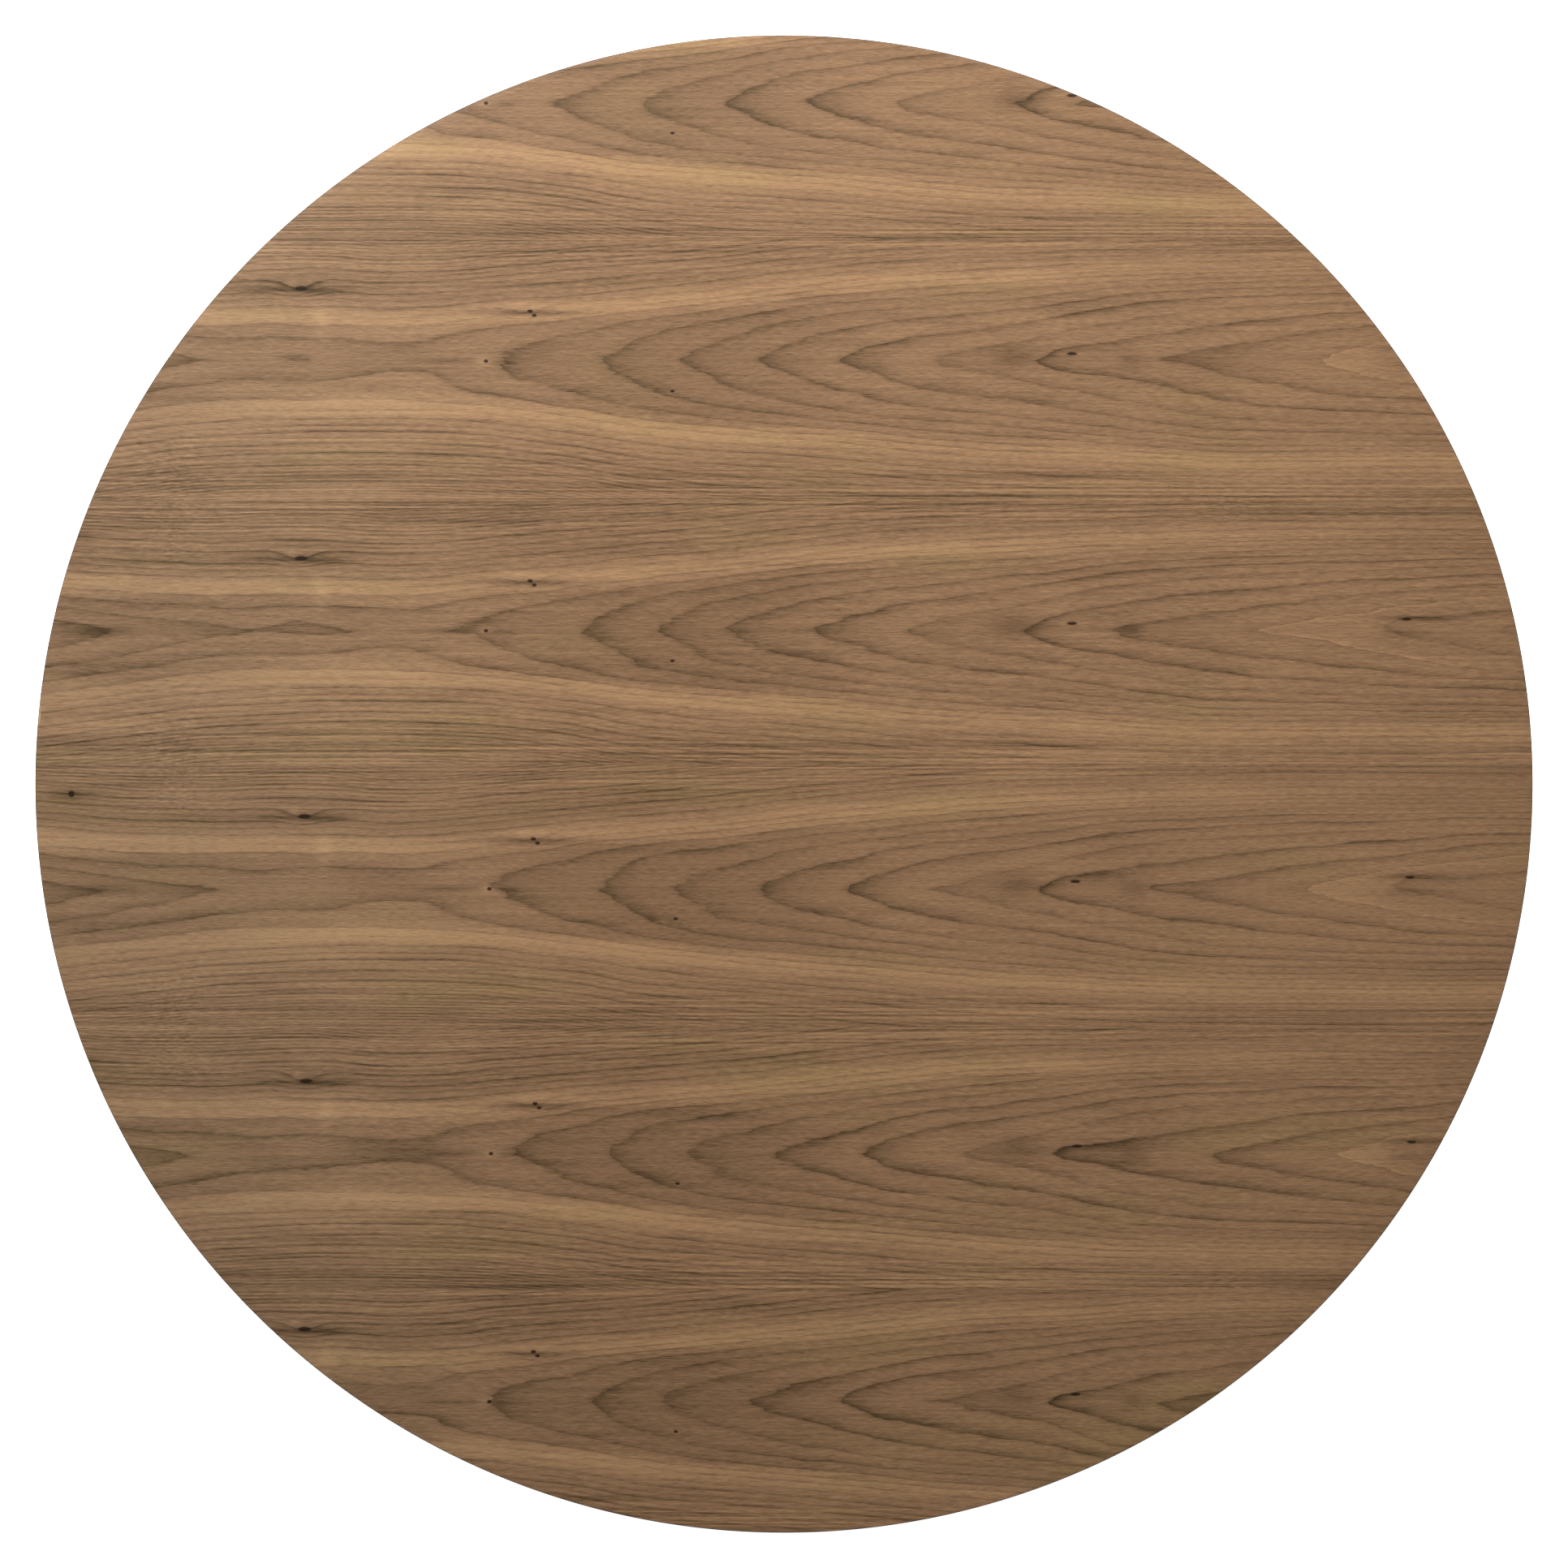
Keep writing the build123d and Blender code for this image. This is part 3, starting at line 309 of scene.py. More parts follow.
# Noise: cell length along the grain and width across it, in mm; swing; detail where it isn't 1.
HEART_BEND, HEART_RIPPLE = (150, 60, 5.0), (45, 12, 1.6)  # swing in mm
BAND_BEND = (60, 20, 2.0)  # mm
DEPTH_WANDER = (70, 200, 0.25)  # rings
RING_WANDER = ((110, 30, 0.7), (30, 5, 0.30), (9, 1.5, 0.15, 2.0))  # rings
LINE_STRENGTH = (90, 12, 1.4)
SMUDGES = (55, 9, 1.0, 2.0)
FIBRES = (6, 0.55, 0.55, 3.0)  # tone, and so are the next four
STREAKS = (110, 1.6, 0.26, 2.0)
REEDS = (240, 1.2, 0.80, 2.0)
CLOUDS = (160, 40, 0.10, 2.0)
FLECK_SHEEN_GRAIN = (3.5, 1.0, 0.42)
OLIVE_DRIFTS = (140, 35, 1.0, 2.0)
PORE_SIZE = (6.0, 0.45)  # mm, length and width alone

LEAF_REACH = 460.0  # mm, the stations above lie within this of the table's middle
LEAF_NOISE_STEP = 0.35  # how far the noise moves on from one leaf to the next
BAND_HALF_WIDTH = 6.0  # mm, of the tan bands
FLANK_OFFSET, FLANK_HALF_WIDTH = 16.0, 8.0  # mm, the dark strip outside the rear band
RELIEF = 0.06 * MM  # depth of the pores and fibres

# Where one kind of wood gives way to the next, in mm.
STRAIGHT_GRAIN = (4.0, 26.0)  # outwards from a band
BAND_FOOT = (3.0, 10.0)  # inwards from a band
SEAMWARD = (56.0, 74.0)  # outwards from the heart line
SEAM_DARK = (58.0, 76.0)  # outwards from the heart line
LEFT_PALE = (-260.0, -120.0)  # along the leaf
LEFT_GREY = (-380.0, -60.0)  # along the leaf
RIGHT_CLEAR = (180.0, 300.0)  # along the leaf

# How fast the latewood fades away from a ring's edge, and what each part adds to a full line.
LINE_FADE = -6.5  # per ring, inside the bands
FADE_LOSS = 4.0  # slower by this outside them
EDGE_FADE = 3.0  # times as fast on the far side of the edge
SHADING_FADE = 2.2  # of the broad shading before the line
LINE_SHARE, EDGE_SHARE, SHADING_SHARE = 0.62, 0.52, 0.48
SHADING_RIGHT = 0.6  # what is left of the shading at the right end

# Level of noise or of a bell where a mark starts and where it is full.
SMUDGE_EDGE = (-0.12, 0.20)
OLIVE_EDGE = (0.0, 0.3)
PORE_EDGE = (0.12, 0.24)
PIN_EDGE = (0.20, 0.60)
PIN_COVER = 0.92  # how much of the wood's colour a full pin mark hides

# Tone of plain wood from 0 to 1, and what is added to it where.
BASE_TONE = 0.555
GLOW_LIFT = 0.17  # middle of a tan band
HEART_SHADE = -0.10  # between the bands
FLANK_SHADE = -0.10  # strip behind the rear band
SEAM_SHADE = -0.065  # near the seams
LEFT_LIFT = 0.04  # left end
LINE_DEPTH = -0.41  # full latewood line
PORE_DEPTH = -0.14
PALE_LIFT, PALE_RIM, PALE_SHADOW = 0.08, 0.10, -0.08  # pale ring: towards its end, at it, past it

BROWNS = (  # tone, colour
    (0.0, srgb(52, 38, 21)),
    (0.22, srgb(80, 61, 39)),
    (0.50, srgb(117, 90, 65)),
    (0.70, srgb(140, 110, 78)),
    (0.90, srgb(156, 125, 89)),
)
BARK = srgb(28, 13, 4)


class Leaf:
    """The figure of one leaf, in mm along it (x) and across it from its heart line (v)."""

    def __init__(self, number, heart, deeper, drift):
        self.g = g = Graph(f"walnut_{number}")
        place_x, place_y, _ = g.split(g.scaled(g.coords, (1 / MM,) * 3))
        self.x = g.minus(place_x, drift)
        self.v = g.minus(place_y, heart)
        self.flow = g.joined(self.x, self.v, number * LEAF_NOISE_STEP)
        self.deeper = deeper
        self.lay_bands()

    def cells(self, length, width, detail):
        """Noise with cells of the given length and width in mm."""
        return self.g.noise(self.g.scaled(self.flow, (1 / length, 1 / width, 1.0)), detail)

    def wave(self, length, width, size, detail=1.0):
        return self.g.times(self.cells(length, width, detail), size)

    def share(self, stations):
        """A line along the leaf through the given (mm, share) stations, shares from 0 to 1."""
        return self.g.curve(self.x, -LEAF_REACH, LEAF_REACH, stations)

    def along(self, stations, low, span):
        """The same for heights from low to low + span."""
        line = self.share([(at, (height - low) / span) for at, height in stations])
        return self.g.add(self.g.times(line, span), low)

    def by_side(self, front, rear):
        """One value on the front side of the heart line and another behind it."""
        g = self.g
        return g.add(front, g.times(self.rear_side, g.minus(rear, front)))

    def square(self, value, centre, half_width):
        """The squared distance from the centre, in half-widths."""
        g = self.g
        distance = g.over(g.minus(value, centre), half_width)
        return g.times(distance, distance)

    def bell(self, spot):
        """1 at the spot, and 0.37 at a half-length or a half-width from it."""
        x, v, half_length, half_width = spot[:4]
        along = self.square(self.x, x, half_length)
        across = self.square(self.v, v, half_width)
        return self.g.fall(self.g.add(along, across), 1.0)

    def lay_bands(self):
        """How far out each point is from the heart line, and how far past the tan band."""
        g = self.g
        skewed = g.add(self.v, self.wave(*HEART_BEND), self.wave(*HEART_RIPPLE))
        self.rear_side = g.math("GREATER_THAN", skewed, 0.0)
        front = self.along(FRONT_BAND, 0.0, BAND_REACH)
        rear = self.along(REAR_BAND, 0.0, BAND_REACH)
        self.band = self.by_side(front, rear)
        self.out = g.math("SQRT", g.add(g.times(skewed, skewed), 1.0))
        self.past = g.minus(self.out, self.band)
        self.beyond = g.smooth(self.past, *STRAIGHT_GRAIN)
        self.seamward = g.smooth(self.out, *SEAMWARD)

    def ring_count(self):
        """Rings from the log's heart out to each point."""
        g = self.g
        depth = self.along(KNIFE_DEPTH, RINGS_LOW, RINGS_SPAN)
        depth = g.add(depth, self.deeper, self.wave(*DEPTH_WANDER))
        inside = g.math("MINIMUM", g.over(self.out, self.band), 1.0)
        blunt = g.curve(inside, 0, 1, BLUNT)
        keen = g.curve(inside, 0, 1, KEEN)
        climb = g.add(blunt, g.times(self.share(KEENNESS), g.minus(keen, blunt)))
        farthest, most_rings = CROWDING[-1]
        crowding = [(at, rings / most_rings) for at, rings in CROWDING]
        outside = g.math("MAXIMUM", self.past, 0.0)
        outer = g.times(g.curve(outside, 0, farthest, crowding), most_rings)
        ring_at_band = self.along(BAND_RING, RINGS_LOW, RINGS_SPAN)
        rings = g.add(depth, g.times(climb, g.minus(ring_at_band, depth)), outer)
        rings = g.add(rings, *[self.wave(*layer) for layer in RING_WANDER])
        for knot in KNOTS:
            rings = g.add(rings, g.times(self.bell(knot), knot[4]))
        return rings

    def latewood(self, rings):
        """Lines that darken towards the end of a ring and stop short at the next one."""
        g = self.g
        part = g.math("FRACT", rings)
        before = g.minus(1.0, part)
        weight = g.curve(g.math("ROUND", rings), RINGS_LOW, RINGS_LOW + RINGS_SPAN, RING_WEIGHTS)
        fade = g.add(LINE_FADE, g.times(self.beyond, FADE_LOSS))
        late = g.math("EXPONENT", g.times(before, fade))
        edge = g.math("EXPONENT", g.times(part, g.times(fade, EDGE_FADE)))
        kept = g.smooth(self.x, *RIGHT_CLEAR, 1.0, SHADING_RIGHT)
        shading = g.times(g.fall(before, SHADING_FADE), kept)
        near_heart = g.fall(g.times(self.out, self.out), 0.012)  # within about 9 mm
        smudge = g.math("MAXIMUM", g.smooth(self.wave(*SMUDGES), *SMUDGE_EDGE), near_heart)
        line = g.add(g.times(late, LINE_SHARE), g.times(edge, EDGE_SHARE))
        line = g.add(line, g.times(g.times(shading, smudge), SHADING_SHARE))
        # Lines are darker beyond the bands, and paler again at the seams.
        crowded = g.add(g.times(self.beyond, 0.25), g.times(self.seamward, -0.30))
        line = g.times(line, g.add(1.0, self.wave(*LINE_STRENGTH), crowded))
        return g.times(line, weight)

    def pale_edge(self, rings):
        """Wood that lightens towards the end of the pale ring, and is darker just past it."""
        g = self.g
        part = g.math("FRACT", rings)
        before = g.minus(1.0, part)
        pale = g.math("COMPARE", g.math("ROUND", rings), PALE_RING, 0.5)
        broad, narrow = 5.0, 40.0  # how fast each part fades away from the edge
        lift = g.times(g.fall(before, broad), PALE_LIFT)
        rim = g.times(g.fall(before, narrow), PALE_RIM)
        shadow = g.times(g.fall(part, broad), PALE_SHADOW)
        return g.times(pale, g.add(lift, rim, shadow))

    def tone(self):
        """Lightness of the wood between its lines."""
        g = self.g
        offset = g.over(g.add(self.past, self.wave(*BAND_BEND)), BAND_HALF_WIDTH)
        glow = g.fall(g.math("POWER", g.math("ABSOLUTE", offset), 2.4), 1.0)
        glow = g.times(glow, self.by_side(self.share(FRONT_GLOW), self.share(REAR_GLOW)))
        within = g.smooth(g.minus(self.band, self.out), *BAND_FOOT)
        within = g.times(within, self.share(HEART_TONE))
        wood = g.add(BASE_TONE, g.times(glow, GLOW_LIFT), g.times(self.beyond, 0.02))
        wood = g.add(wood, g.times(within, HEART_SHADE))
        behind = g.fall(self.square(self.past, FLANK_OFFSET, FLANK_HALF_WIDTH), 1.0)
        flank = g.times(self.rear_side, behind)
        shade = g.add(g.times(flank, FLANK_SHADE), g.smooth(self.out, *SEAM_DARK, 0.0, SEAM_SHADE))
        wood = g.add(wood, g.times(shade, self.share(REAR_FLANK)))
        return g.add(wood, g.smooth(self.x, *LEFT_PALE, LEFT_LIFT, 0.0))

    def grain(self, fibre):
        """Fibre, streaks and reeding, strongest at the seams, and painted sheen flecks on wavy grain.
        """
        g = self.g
        reeding = g.add(g.times(self.beyond, 0.5), g.times(self.seamward, 0.7))
        reed = g.times(self.wave(*REEDS), reeding)
        wavy = g.add(*[g.fall(self.square(self.x, at, half_length), 1.0) for at, half_length in FLECKS])
        # painted sheen: light and dark flecks where the wavy grain catches the light
        fleck_sheen = g.times(g.times(self.wave(*FLECK_SHEEN_GRAIN), wavy), self.beyond)
        return g.add(fibre, self.wave(*STREAKS), reed, self.wave(*CLOUDS), fleck_sheen)

    def colour(self, level):
        """Brown for a level of 0 to 1, with olive drifts, a tint from end to end and the pin marks."""
        g = self.g
        brown = g.ramp(level, BROWNS)
        olive = g.smooth(self.wave(*OLIVE_DRIFTS), *OLIVE_EDGE)
        brown = g.mix(g.times(olive, 0.6), brown, (0.90, 1.0, 0.84, 1.0), blend="MULTIPLY")
        greyer, redder = (1.0, 1.03, 1.10, 1.0), (1.012, 0.98, 0.985, 1.0)
        tint = g.mix(g.smooth(self.x, *LEFT_GREY), greyer, redder)
        brown = g.mix(1.0, brown, tint, blend="MULTIPLY")
        marks = g.add(*[self.bell(pin) for pin in PINS])
        return g.mix(g.smooth(marks, *PIN_EDGE, 0.0, PIN_COVER), brown, (*BARK, 1.0))


def walnut(number, heart, deeper, drift):
    """The face veneer's material for one leaf."""
    leaf = Leaf(number, heart, deeper, drift)
    g = leaf.g
    fibre = leaf.wave(*FIBRES)
    pores = g.smooth(leaf.cells(*PORE_SIZE, 1.0), *PORE_EDGE)
    rings = leaf.ring_count()
    lines = g.add(g.times(leaf.latewood(rings), LINE_DEPTH), leaf.pale_edge(rings))
    level = g.add(leaf.tone(), leaf.grain(fibre), lines)
    for shade in SHADES:
        level = g.add(level, g.times(leaf.bell(shade), shade[4]))
    level = g.add(level, g.times(pores, PORE_DEPTH))
    g.bump(g.add(g.times(pores, -0.6), g.times(fibre, 0.8)), RELIEF)
    return g.finish(
        Base_Color=leaf.colour(level),
        Roughness=g.add(0.50, g.times(fibre, 0.2), g.times(pores, 0.15)),
        Specular_IOR_Level=0.12,
    )


# ---- other materials ------------------------------------------------------------------------------
def two_tones(shade, down, up):
    """A darker and a lighter version of a colour."""
    return tuple(c * down for c in shade), tuple(min(c * up, 1.0) for c in shade)


def coated(name, grain, shade):
    """Black powder coat: a fine leathery relief, its bumps as wide as grain, in metres."""
    g = Graph(name)
    peel = g.grain_noise((grain,) * 3, 3.0, 0.6)
    cloud = g.grain_noise((0.05,) * 3, 2.0)
    level = g.add(0.5, g.times(peel, 0.5), g.times(cloud, 0.5))
    dark, light = two_tones(shade, 0.7, 1.35)
    g.bump(peel, grain * 0.12)
    return g.finish(
        Base_Color=g.ramp(level, ((0.2, dark), (0.8, light))),
        Roughness=g.add(0.46, g.times(cloud, 0.12), g.times(peel, 0.10)),
    )


def plated(name, shade, rough):
    """Bright or blackened steel with faint machining marks and cloudy plating."""
    g = Graph(name)
    cloud = g.grain_noise((0.006,) * 3, 4.0, 0.6)
    marks = g.grain_noise((0.0004, 0.02, 0.02), 2.0)
    level = g.add(0.5, g.times(cloud, 0.6), g.times(marks, 0.25))
    dark, light = two_tones(shade, 0.75, 1.15)
    g.bump(marks, 0.00002)
    return g.finish(
        Base_Color=g.ramp(level, ((0.2, dark), (0.8, light))),
        Metallic=1.0,
        Roughness=g.add(rough, g.times(cloud, 0.25)),
    )


def moulded(name, shade, rough, grain, shine=0.5):
    """Plastic, rubber or laminate with a fine moulded texture and slight handling variation."""
    g = Graph(name)
    texture = g.grain_noise((grain,) * 3, 2.0, 0.6)
    cloud = g.grain_noise((0.03,) * 3, 3.0)
    level = g.add(0.5, g.times(texture, 0.4), g.times(cloud, 0.6))
    dark, light = two_tones(shade, 0.8, 1.2)
    g.bump(texture, grain * 0.10)
    return g.finish(
        Base_Color=g.ramp(level, ((0.2, dark), (0.8, light))),
        Roughness=g.add(rough, g.times(cloud, 0.15)),
        Specular_IOR_Level=shine,
    )


def make_materials():
    """The material of every slot but the veneer's. Sizes are metres and colours linear."""
    return {
        "sealed_board": moulded("sealed_board", (0.016, 0.015, 0.014), 0.65, 0.0007, 0.12),
        "laminate": moulded("laminate", (0.020, 0.020, 0.021), 0.50, 0.0005),
        "coated_steel": coated("coated_steel", 0.0008, (0.020, 0.020, 0.021)),
        "coated_casting": coated("coated_casting", 0.0012, (0.022, 0.022, 0.023)),
        "zinc_steel": plated("zinc_steel", (0.60, 0.60, 0.58), 0.30),
        "black_steel": plated("black_steel", (0.07, 0.07, 0.075), 0.38),
        "spring_steel": plated("spring_steel", (0.50, 0.50, 0.50), 0.25),
        "rubber": moulded("rubber", (0.022, 0.022, 0.022), 0.78, 0.0006),
        "nylon": moulded("nylon", (0.62, 0.60, 0.53), 0.45, 0.0006),
        "foot_plastic": moulded("foot_plastic", (0.022, 0.022, 0.023), 0.52, 0.0006),
        "grip_plastic": moulded("grip_plastic", (0.022, 0.022, 0.023), 0.60, 0.0005),
    }


# ---- meshes ---------------------------------------------------------------------------------------
SHARP_FROM = math.radians(32)  # edges that turn by more than this stay crisp
RIM_SEGMENTS = 768
TUBE_SEGMENTS = 128
STUD_SEGMENTS = 48
ARRIS = 0.25 * MM  # rounding of the veneer's top edge
EDGE_SHOW = 0.5 * MM  # how far the sealed board edge stands out past the veneer


def new_mesh(name, verts, faces, material):
    """A smooth-shaded mesh in one material, crisp along its sharp edges."""
    mesh = bpy.data.meshes.new(name)
    mesh.from_pydata(verts, [], faces)
    mesh.update()
    piece = bpy.data.objects.new(name, mesh)
    bpy.context.collection.objects.link(piece)
    mesh.materials.append(material)
    mesh.shade_smooth()
    mesh.set_sharp_from_angle(angle=SHARP_FROM)
    return piece


def mesh_piece(name, verts, faces, material, slot, body, replaced):
    """A mesh in its material on a body, in place of the CAD nodes that it replaces; the slot is not
    used.
    """
    piece = new_mesh(name, verts, faces, material)
    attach(piece, body)
    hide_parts(*replaced)
    return piece


def turned(name, profile, segments, *binding, centre=(0.0, 0.0)):
    """A piece turned about an upright axis from (radius, height) points.

    A radius of 0 closes it on the axis. The binding is mesh_piece's material, slot, body and nodes.
    """
    cx, cy = centre
    verts, rows = [], []
    for radius, height in profile:
        if radius == 0.0:
            rows.append([len(verts)] * segments)
            verts.append((cx, cy, height))
            continue
        rows.append(range(len(verts), len(verts) + segments))
        for k in range(segments):
            angle = 2 * math.pi * k / segments
            verts.append((cx + radius * math.cos(angle), cy + radius * math.sin(angle), height))
    faces = []
    for low, high in zip(rows, rows[1:]):
        for k in range(segments):
            after = (k + 1) % segments
            corners = [low[k], low[after], high[after], high[k]]
            faces.append(tuple(dict.fromkeys(corners)))
    return mesh_piece(name, verts, faces, *binding)


def arc(centre, radius, start, end, steps):
    """Points on a circle in the (radius, height) plane, angles in degrees."""
    points = []
    for k in range(steps + 1):
        angle = math.radians(start + (end - start) * k / steps)
        points.append((centre[0] + radius * math.cos(angle), centre[1] + radius * math.sin(angle)))
    return points


def leaf_rows(low, high, radius):
    """Rim angles on the right-hand side from the leaf's front seam to its rear seam."""
    start = math.asin(max(low / radius, -1.0))
    end = math.asin(min(high / radius, 1.0))
    fewest_steps = 8
    steps = max(fewest_steps, round((end - start) / (2 * math.pi) * RIM_SEGMENTS))
    return [start + (end - start) * k / steps for k in range(steps + 1)]


def leaf_line(angle, section, radius, top):
    """Points over the leaf from its right rim, at the given angle, straight across to its left rim."""
    y = radius * math.sin(angle)
    right = [(r * math.cos(angle), y * (r / radius), z) for r, z in section]
    edge_x, edge_y, _ = right[-1]
    columns = 24  # across the flat face
    flat = [(edge_x * (1 - 2 * k / columns), edge_y, top) for k in range(1, columns)]
    left = [(-px, py, pz) for px, py, pz in reversed(right)]
    return right + flat + left


def veneer_leaf(number, material):
    """One leaf: straight seams, a rim that follows the board, and a rounded top arris."""
    node = f"veneer_leaf_{number}"
    (_, low, bottom), (_, high, top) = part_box(node)
    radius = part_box("core_board")[1][0] - EDGE_SHOW
    low = max(low, -radius)
    high = min(high, radius)
    section = [(radius, bottom), (radius, top - ARRIS)]
    section += arc((radius - ARRIS, top - ARRIS), ARRIS, 0, 90, 4)[1:]
    verts, rows, faces = [], [], []
    for angle in leaf_rows(low, high, radius):
        line = leaf_line(angle, section, radius, top)
        rows.append(range(len(verts), len(verts) + len(line)))
        verts += line
    for lower, upper in zip(rows, rows[1:]):
        for k in range(len(lower) - 1):
            faces.append((lower[k], lower[k + 1], upper[k + 1], upper[k]))
        faces.append((lower[-1], lower[0], upper[0], upper[-1]))
    faces.append(tuple(rows[0]))
    faces.append(tuple(reversed(rows[-1])))
    name = f"face_leaf_{number}"
    return mesh_piece(name, verts, faces, material, "face_veneer", "tilting_top", [node])


def board(materials):
    """The core with its sealed, reverse-bevelled edge, and the laminate under it."""
    (_, _, bottom), (radius, _, top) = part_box("core_board")
    (_, _, under), (inner, _, _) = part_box("backer_sheet")
    land = 7.0 * MM  # upright part of the edge
    round_over = 0.8 * MM  # between the land and the face
    corner, corner_lift = 2.0 * MM, 1.2 * MM  # rounding between the bevel and the land
    foot_in, foot_out, foot_up = 0.2 * MM, 0.4 * MM, 0.15 * MM  # chamfer where the bevel starts
    bevel = math.degrees(math.atan2(top - land - bottom, radius - inner))
    profile = [(0.0, bottom), (inner - foot_in, bottom), (inner + foot_out, bottom + foot_up)]
    profile += arc((radius - corner, top - land + corner_lift), corner, bevel - 90, 0, 6)
    profile += arc((radius - round_over, top - round_over), round_over, 0, 90, 5)
    profile += [(0.0, top)]
    core = (materials["sealed_board"], "sealed_board", "tilting_top", ["core_board"])
    turned("board_core", profile, RIM_SEGMENTS, *core)
    softened = 0.4 * MM  # rounding of the laminate's lower edge
    margin = 0.5 * MM  # the flat underside ends this far in
    sheet = [(0.0, under), (inner - margin, under)]
    sheet += arc((inner - softened, under + softened), softened, -90, 0, 3)
    sheet += [(inner, bottom), (0.0, bottom)]
    backer = (materials["laminate"], "laminate", "tilting_top", ["backer_sheet"])
    turned("board_backer", sheet, RIM_SEGMENTS, *backer)


def column(materials):
    """The round tube between the hub and the tilt head."""
    (_, _, low), (radius, _, high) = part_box("column_tube")
    wall = 2.0 * MM
    bore = radius - wall
    profile = [(bore, low), (radius, low), (radius, high), (bore, high), (bore, low)]
    binding = (materials["coated_steel"], "coated_steel", "pedestal", ["column_tube"])
    turned("column_sleeve", profile, TUBE_SEGMENTS, *binding)


def coil_climb(turn, turns, closed, closed_pitch, rise):
    """How far the wire has climbed: slowly in the closed turns at each end, faster between them."""
    opening = min(max((turn - closed) / (turns - 2 * closed), 0.0), 1.0)
    climb = closed_pitch * min(turn, closed)
    climb += closed_pitch * max(turn - (turns - closed), 0.0)
    return climb + opening * (rise - 2 * closed_pitch * closed)


def wire_faces(steps, sides):
    """Faces round a wire that has steps + 1 rings of points, with both ends closed."""
    faces = []
    for k in range(steps):
        near, far = k * sides, (k + 1) * sides
        for side in range(sides):
            after = (side + 1) % sides
            faces.append((near + side, far + side, far + after, near + after))
    faces.append(tuple(range(sides)))
    faces.append(tuple(reversed(range(steps * sides, (steps + 1) * sides))))
    return faces


def latch_coil(materials):
    """The latch's compression spring: closed end turns, with open turns between them."""
    (x0, y0, low), (x1, y1, high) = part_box("latch_spring")
    centre = ((x0 + x1) / 2, (y0 + y1) / 2)
    wire = 0.6 * MM  # half the wire's thickness
    radius = (x1 - x0) / 2 - wire
    turns, closed = 7.0, 0.9  # in all, and closed ones at each end
    per_turn, sides = 28, 10  # facets round the coil and round the wire
    closed_pitch = wire * 1.9  # closed turns just touch
    rise = high - low - 2 * wire
    verts = []
    steps = round(turns * per_turn)
    for k in range(steps + 1):
        turn = turns * k / steps
        height = low + wire + coil_climb(turn, turns, closed, closed_pitch, rise)
        angle = 2 * math.pi * turn
        for side in range(sides):
            around = 2 * math.pi * side / sides
            out = radius + wire * math.cos(around)
            verts.append((
                centre[0] + out * math.cos(angle),
                centre[1] + out * math.sin(angle),
                height + wire * math.sin(around),
            ))
    coil = new_mesh("latch_coil", verts, wire_faces(steps, sides), materials["spring_steel"])
    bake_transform(coil)
    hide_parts("latch_spring")


def threaded_studs(materials):
    """The glides' studs: a swivel disc, a hexagon to turn them by, and a thread above it."""
    zinc = materials["zinc_steel"]
    crest, root, pitch = 4.0 * MM, 3.4 * MM, 1.25 * MM
    disc_radius, disc_height = 6.0 * MM, 3.0 * MM
    tip_chamfer = 0.4 * MM
    hex_from, hex_to = 6.0 * MM, 12.7 * MM  # above the stud's foot
    half_flats = 6.5 * MM
    corner_radius = half_flats / math.cos(math.radians(30))
    chamfer_in, chamfer_up = 0.8 * MM, 0.4 * MM  # of the hexagon's corners
    for corner in ("front_right", "rear_right", "rear_left", "front_left"):
        node, body = f"glide_stud_{corner}", f"glide_{corner}"
        (x0, y0, low), (x1, y1, high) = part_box(node)
        centre = ((x0 + x1) / 2, (y0 + y1) / 2)
        hex_low, hex_high = low + hex_from, low + hex_to
        profile = [(0.0, low), (disc_radius, low), (disc_radius, low + disc_height)]
        profile += [(crest, low + disc_height), (crest, hex_high)]
        height = hex_high
        while height + pitch < high:
            profile += [(root, height + pitch / 2), (crest, height + pitch)]
            height += pitch
        profile += [(root - tip_chamfer, high), (0.0, high)]
        stud = (zinc, "zinc_steel", body, [node])
        turned(f"threaded_stud_{corner}", profile, STUD_SEGMENTS, *stud, centre=centre)
        hexagon = [(0.0, hex_low), (corner_radius - chamfer_in, hex_low)]
        hexagon += [(corner_radius, hex_low + chamfer_up)]
        hexagon += [(r, hex_low + hex_high - z) for r, z in reversed(hexagon)]
        turned(f"stud_hexagon_{corner}", hexagon, 6, zinc, "zinc_steel", body, [], centre=centre)


# ---- stage ----------------------------------------------------------------------------------------
FLOOR_REACH = 12.0
FLOOR_GLOW = 0.72
SKY_OVERHEAD = 0.36  # strength, with 1 along the horizon
HORIZON_BAND = (0.06, 0.25)  # upward part of a direction, where the sky starts and ends fading
KEY_PLACE, KEY_TARGET = (-0.35, 1.40, 1.95), (-0.05, 0.25, 0.74)
KEY_SIZE, KEY_POWER = 0.9, 62.0


def studio_floor():
    """A pale, slightly mottled floor that glows a little, so that its far part stays white."""
    near, far = -FLOOR_REACH, FLOOR_REACH
    mesh = bpy.data.meshes.new("studio_floor")
    corners = [(near, near, 0), (far, near, 0), (far, far, 0), (near, far, 0)]
    mesh.from_pydata(corners, [], [(0, 1, 2, 3)])
    floor = bpy.data.objects.new("studio_floor", mesh)
    bpy.context.collection.objects.link(floor)
    g = Graph("studio_floor")
    mottle = g.add(0.5, g.grain_noise((0.5, 0.5, 0.5), 2.0))
    mesh.materials.append(g.finish(
        Base_Color=g.ramp(mottle, ((0.0, (0.90, 0.90, 0.90)), (1.0, (0.93, 0.93, 0.93)))),
        Roughness=0.9,
        Emission_Color=(1.0, 1.0, 1.0, 1.0),
        Emission_Strength=FLOOR_GLOW,
    ))


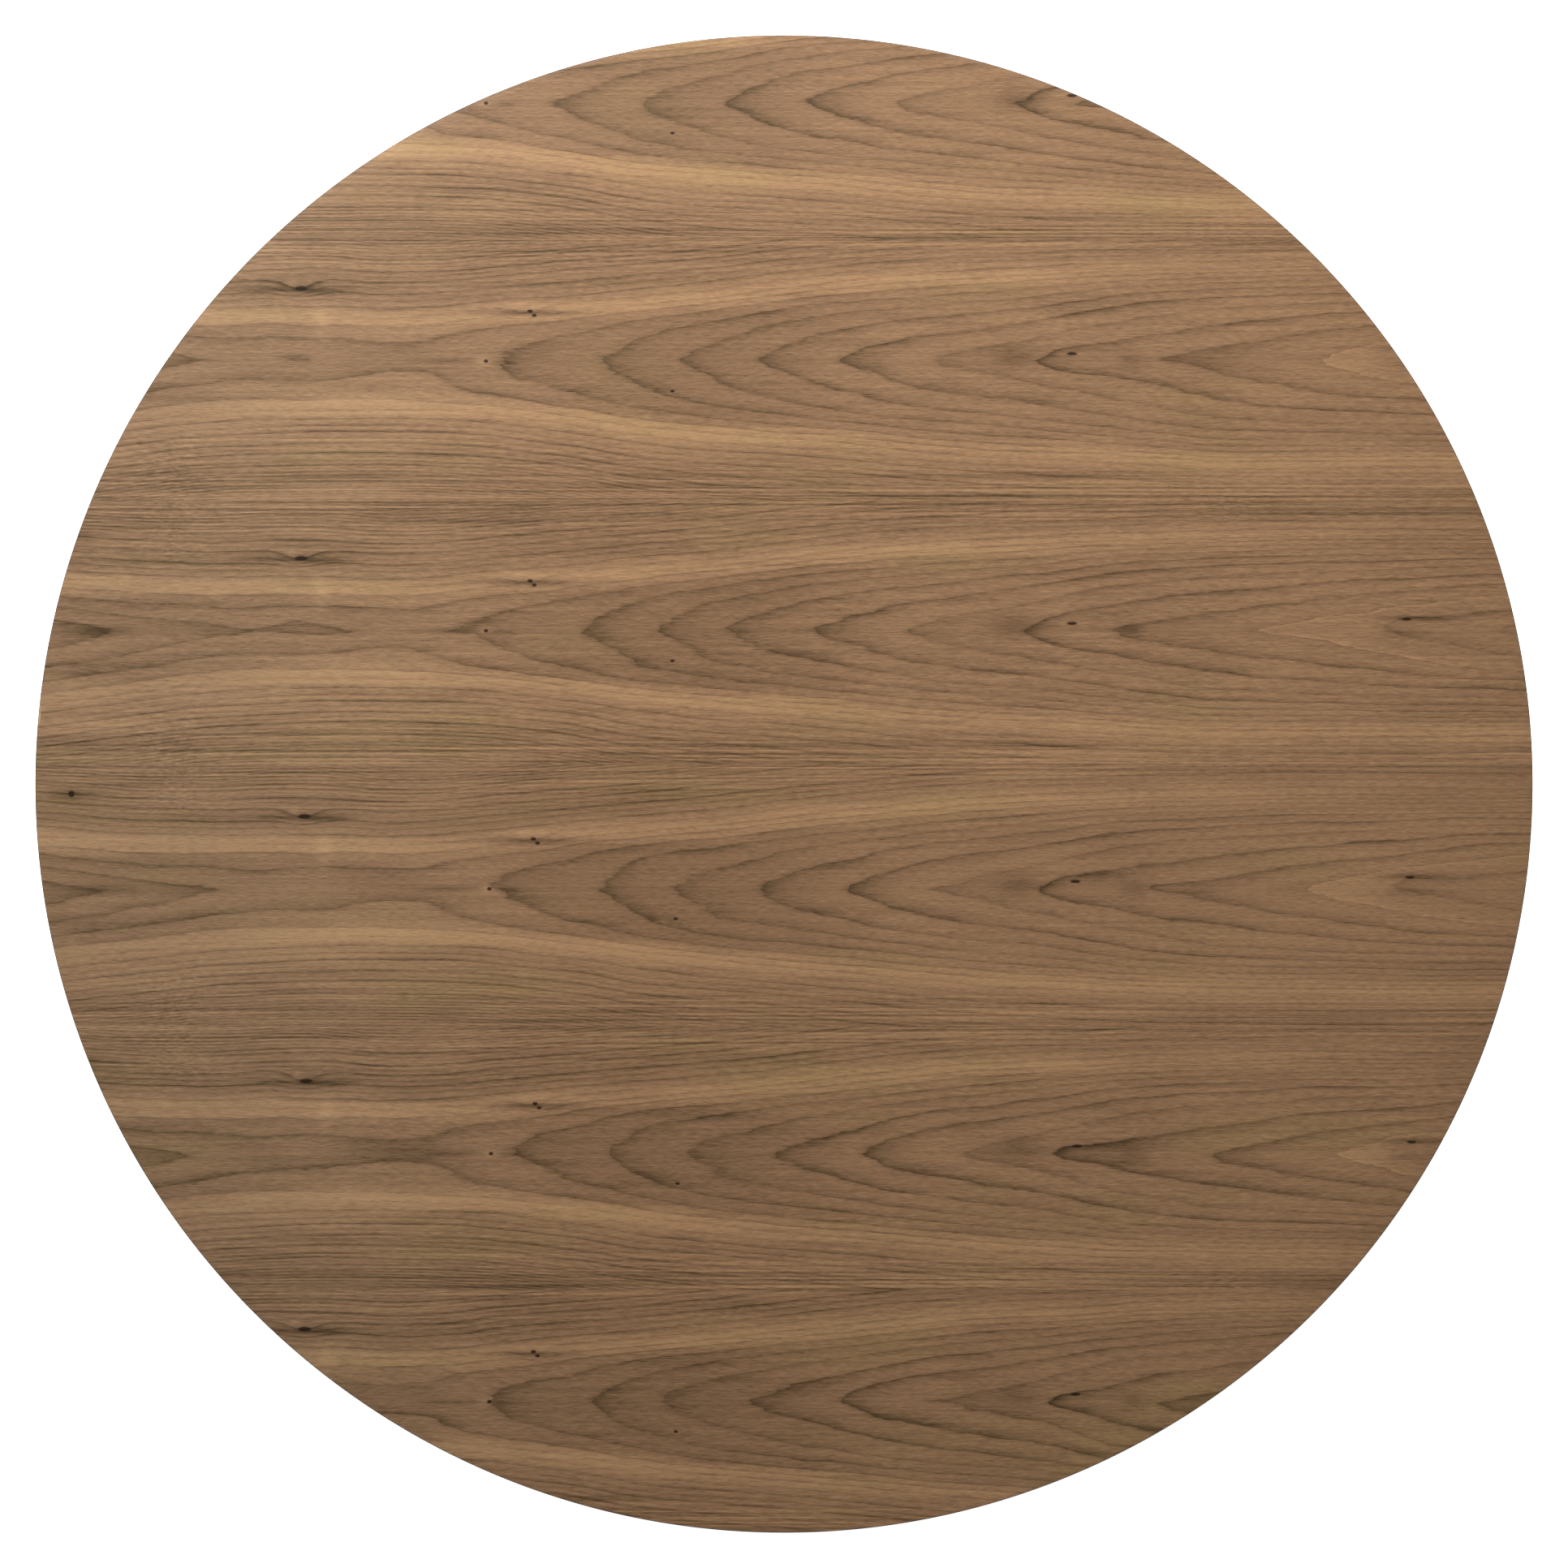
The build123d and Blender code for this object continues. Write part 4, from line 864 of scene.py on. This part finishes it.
def studio_sky():
    """White along the horizon, so that the floor's far edge doesn't show, and dimmer overhead."""
    world = bpy.data.worlds.new("studio_sky")
    world.use_nodes = True
    tree = world.node_tree
    coords = tree.nodes.new("ShaderNodeTexCoord")
    height = tree.nodes.new("ShaderNodeSeparateXYZ")
    fade = tree.nodes.new("ShaderNodeMapRange")
    fade.inputs["From Min"].default_value, fade.inputs["From Max"].default_value = HORIZON_BAND
    fade.inputs["To Min"].default_value = 1.0
    fade.inputs["To Max"].default_value = SKY_OVERHEAD
    tree.links.new(coords.outputs["Generated"], height.inputs[0])
    tree.links.new(height.outputs["Z"], fade.inputs["Value"])
    tree.links.new(fade.outputs[0], tree.nodes["Background"].inputs["Strength"])
    tree.nodes["Background"].inputs["Color"].default_value = (1.0, 1.0, 1.0, 1.0)
    bpy.context.scene.world = world


def key_light():
    """One large soft light over the rear edge."""
    lamp = bpy.data.lights.new("key_light", "AREA")
    lamp.shape = "DISK"
    lamp.size = KEY_SIZE
    lamp.energy = KEY_POWER
    holder = bpy.data.objects.new("key_light", lamp)
    holder.location = KEY_PLACE
    aim = Vector(KEY_TARGET) - Vector(KEY_PLACE)
    holder.rotation_euler = aim.to_track_quat("-Z", "Y").to_euler()
    holder.visible_camera = False
    bpy.context.collection.objects.link(holder)


def camera():
    """Straight down over the middle of the top, which spans almost the whole frame."""
    lens, sensor = 85.0, 36.0
    _, (radius, _, top) = CAD_BOX
    rim_share = 0.9556  # the top's radius over half the frame
    height = radius / rim_share / (sensor / 2 / lens)
    data = bpy.data.cameras.new("camera")
    data.lens = lens
    data.sensor_width = sensor
    data.clip_end = 50.0
    holder = bpy.data.objects.new("camera", data)
    holder.location = (0.0, 0.0, top + height)
    bpy.context.collection.objects.link(holder)
    bpy.context.scene.camera = holder


# ---- assembly -------------------------------------------------------------------------------------
def dress_cad_nodes(materials):
    """Give each CAD node that stays the material of its slot."""
    slots = {entry["node"]: entry["material_slot"] for entry in frame["record"]["subparts"]}
    for node, piece in frame["nodes"].items():
        material = materials.get(slots[node])
        if material is None:
            continue
        for place in piece.material_slots:
            place.material = material


def main():
    """Materials and meshes on the frame, then the stage."""
    bpy.context.scene.view_settings.view_transform = "Standard"
    materials = make_materials()
    dress_cad_nodes(materials)
    for number, (heart, deeper, drift) in enumerate(LEAVES, start=1):
        veneer_leaf(number, walnut(number, heart, deeper, drift))
    board(materials)
    column(materials)
    latch_coil(materials)
    threaded_studs(materials)
    studio_floor()
    studio_sky()
    key_light()
    camera()


main()
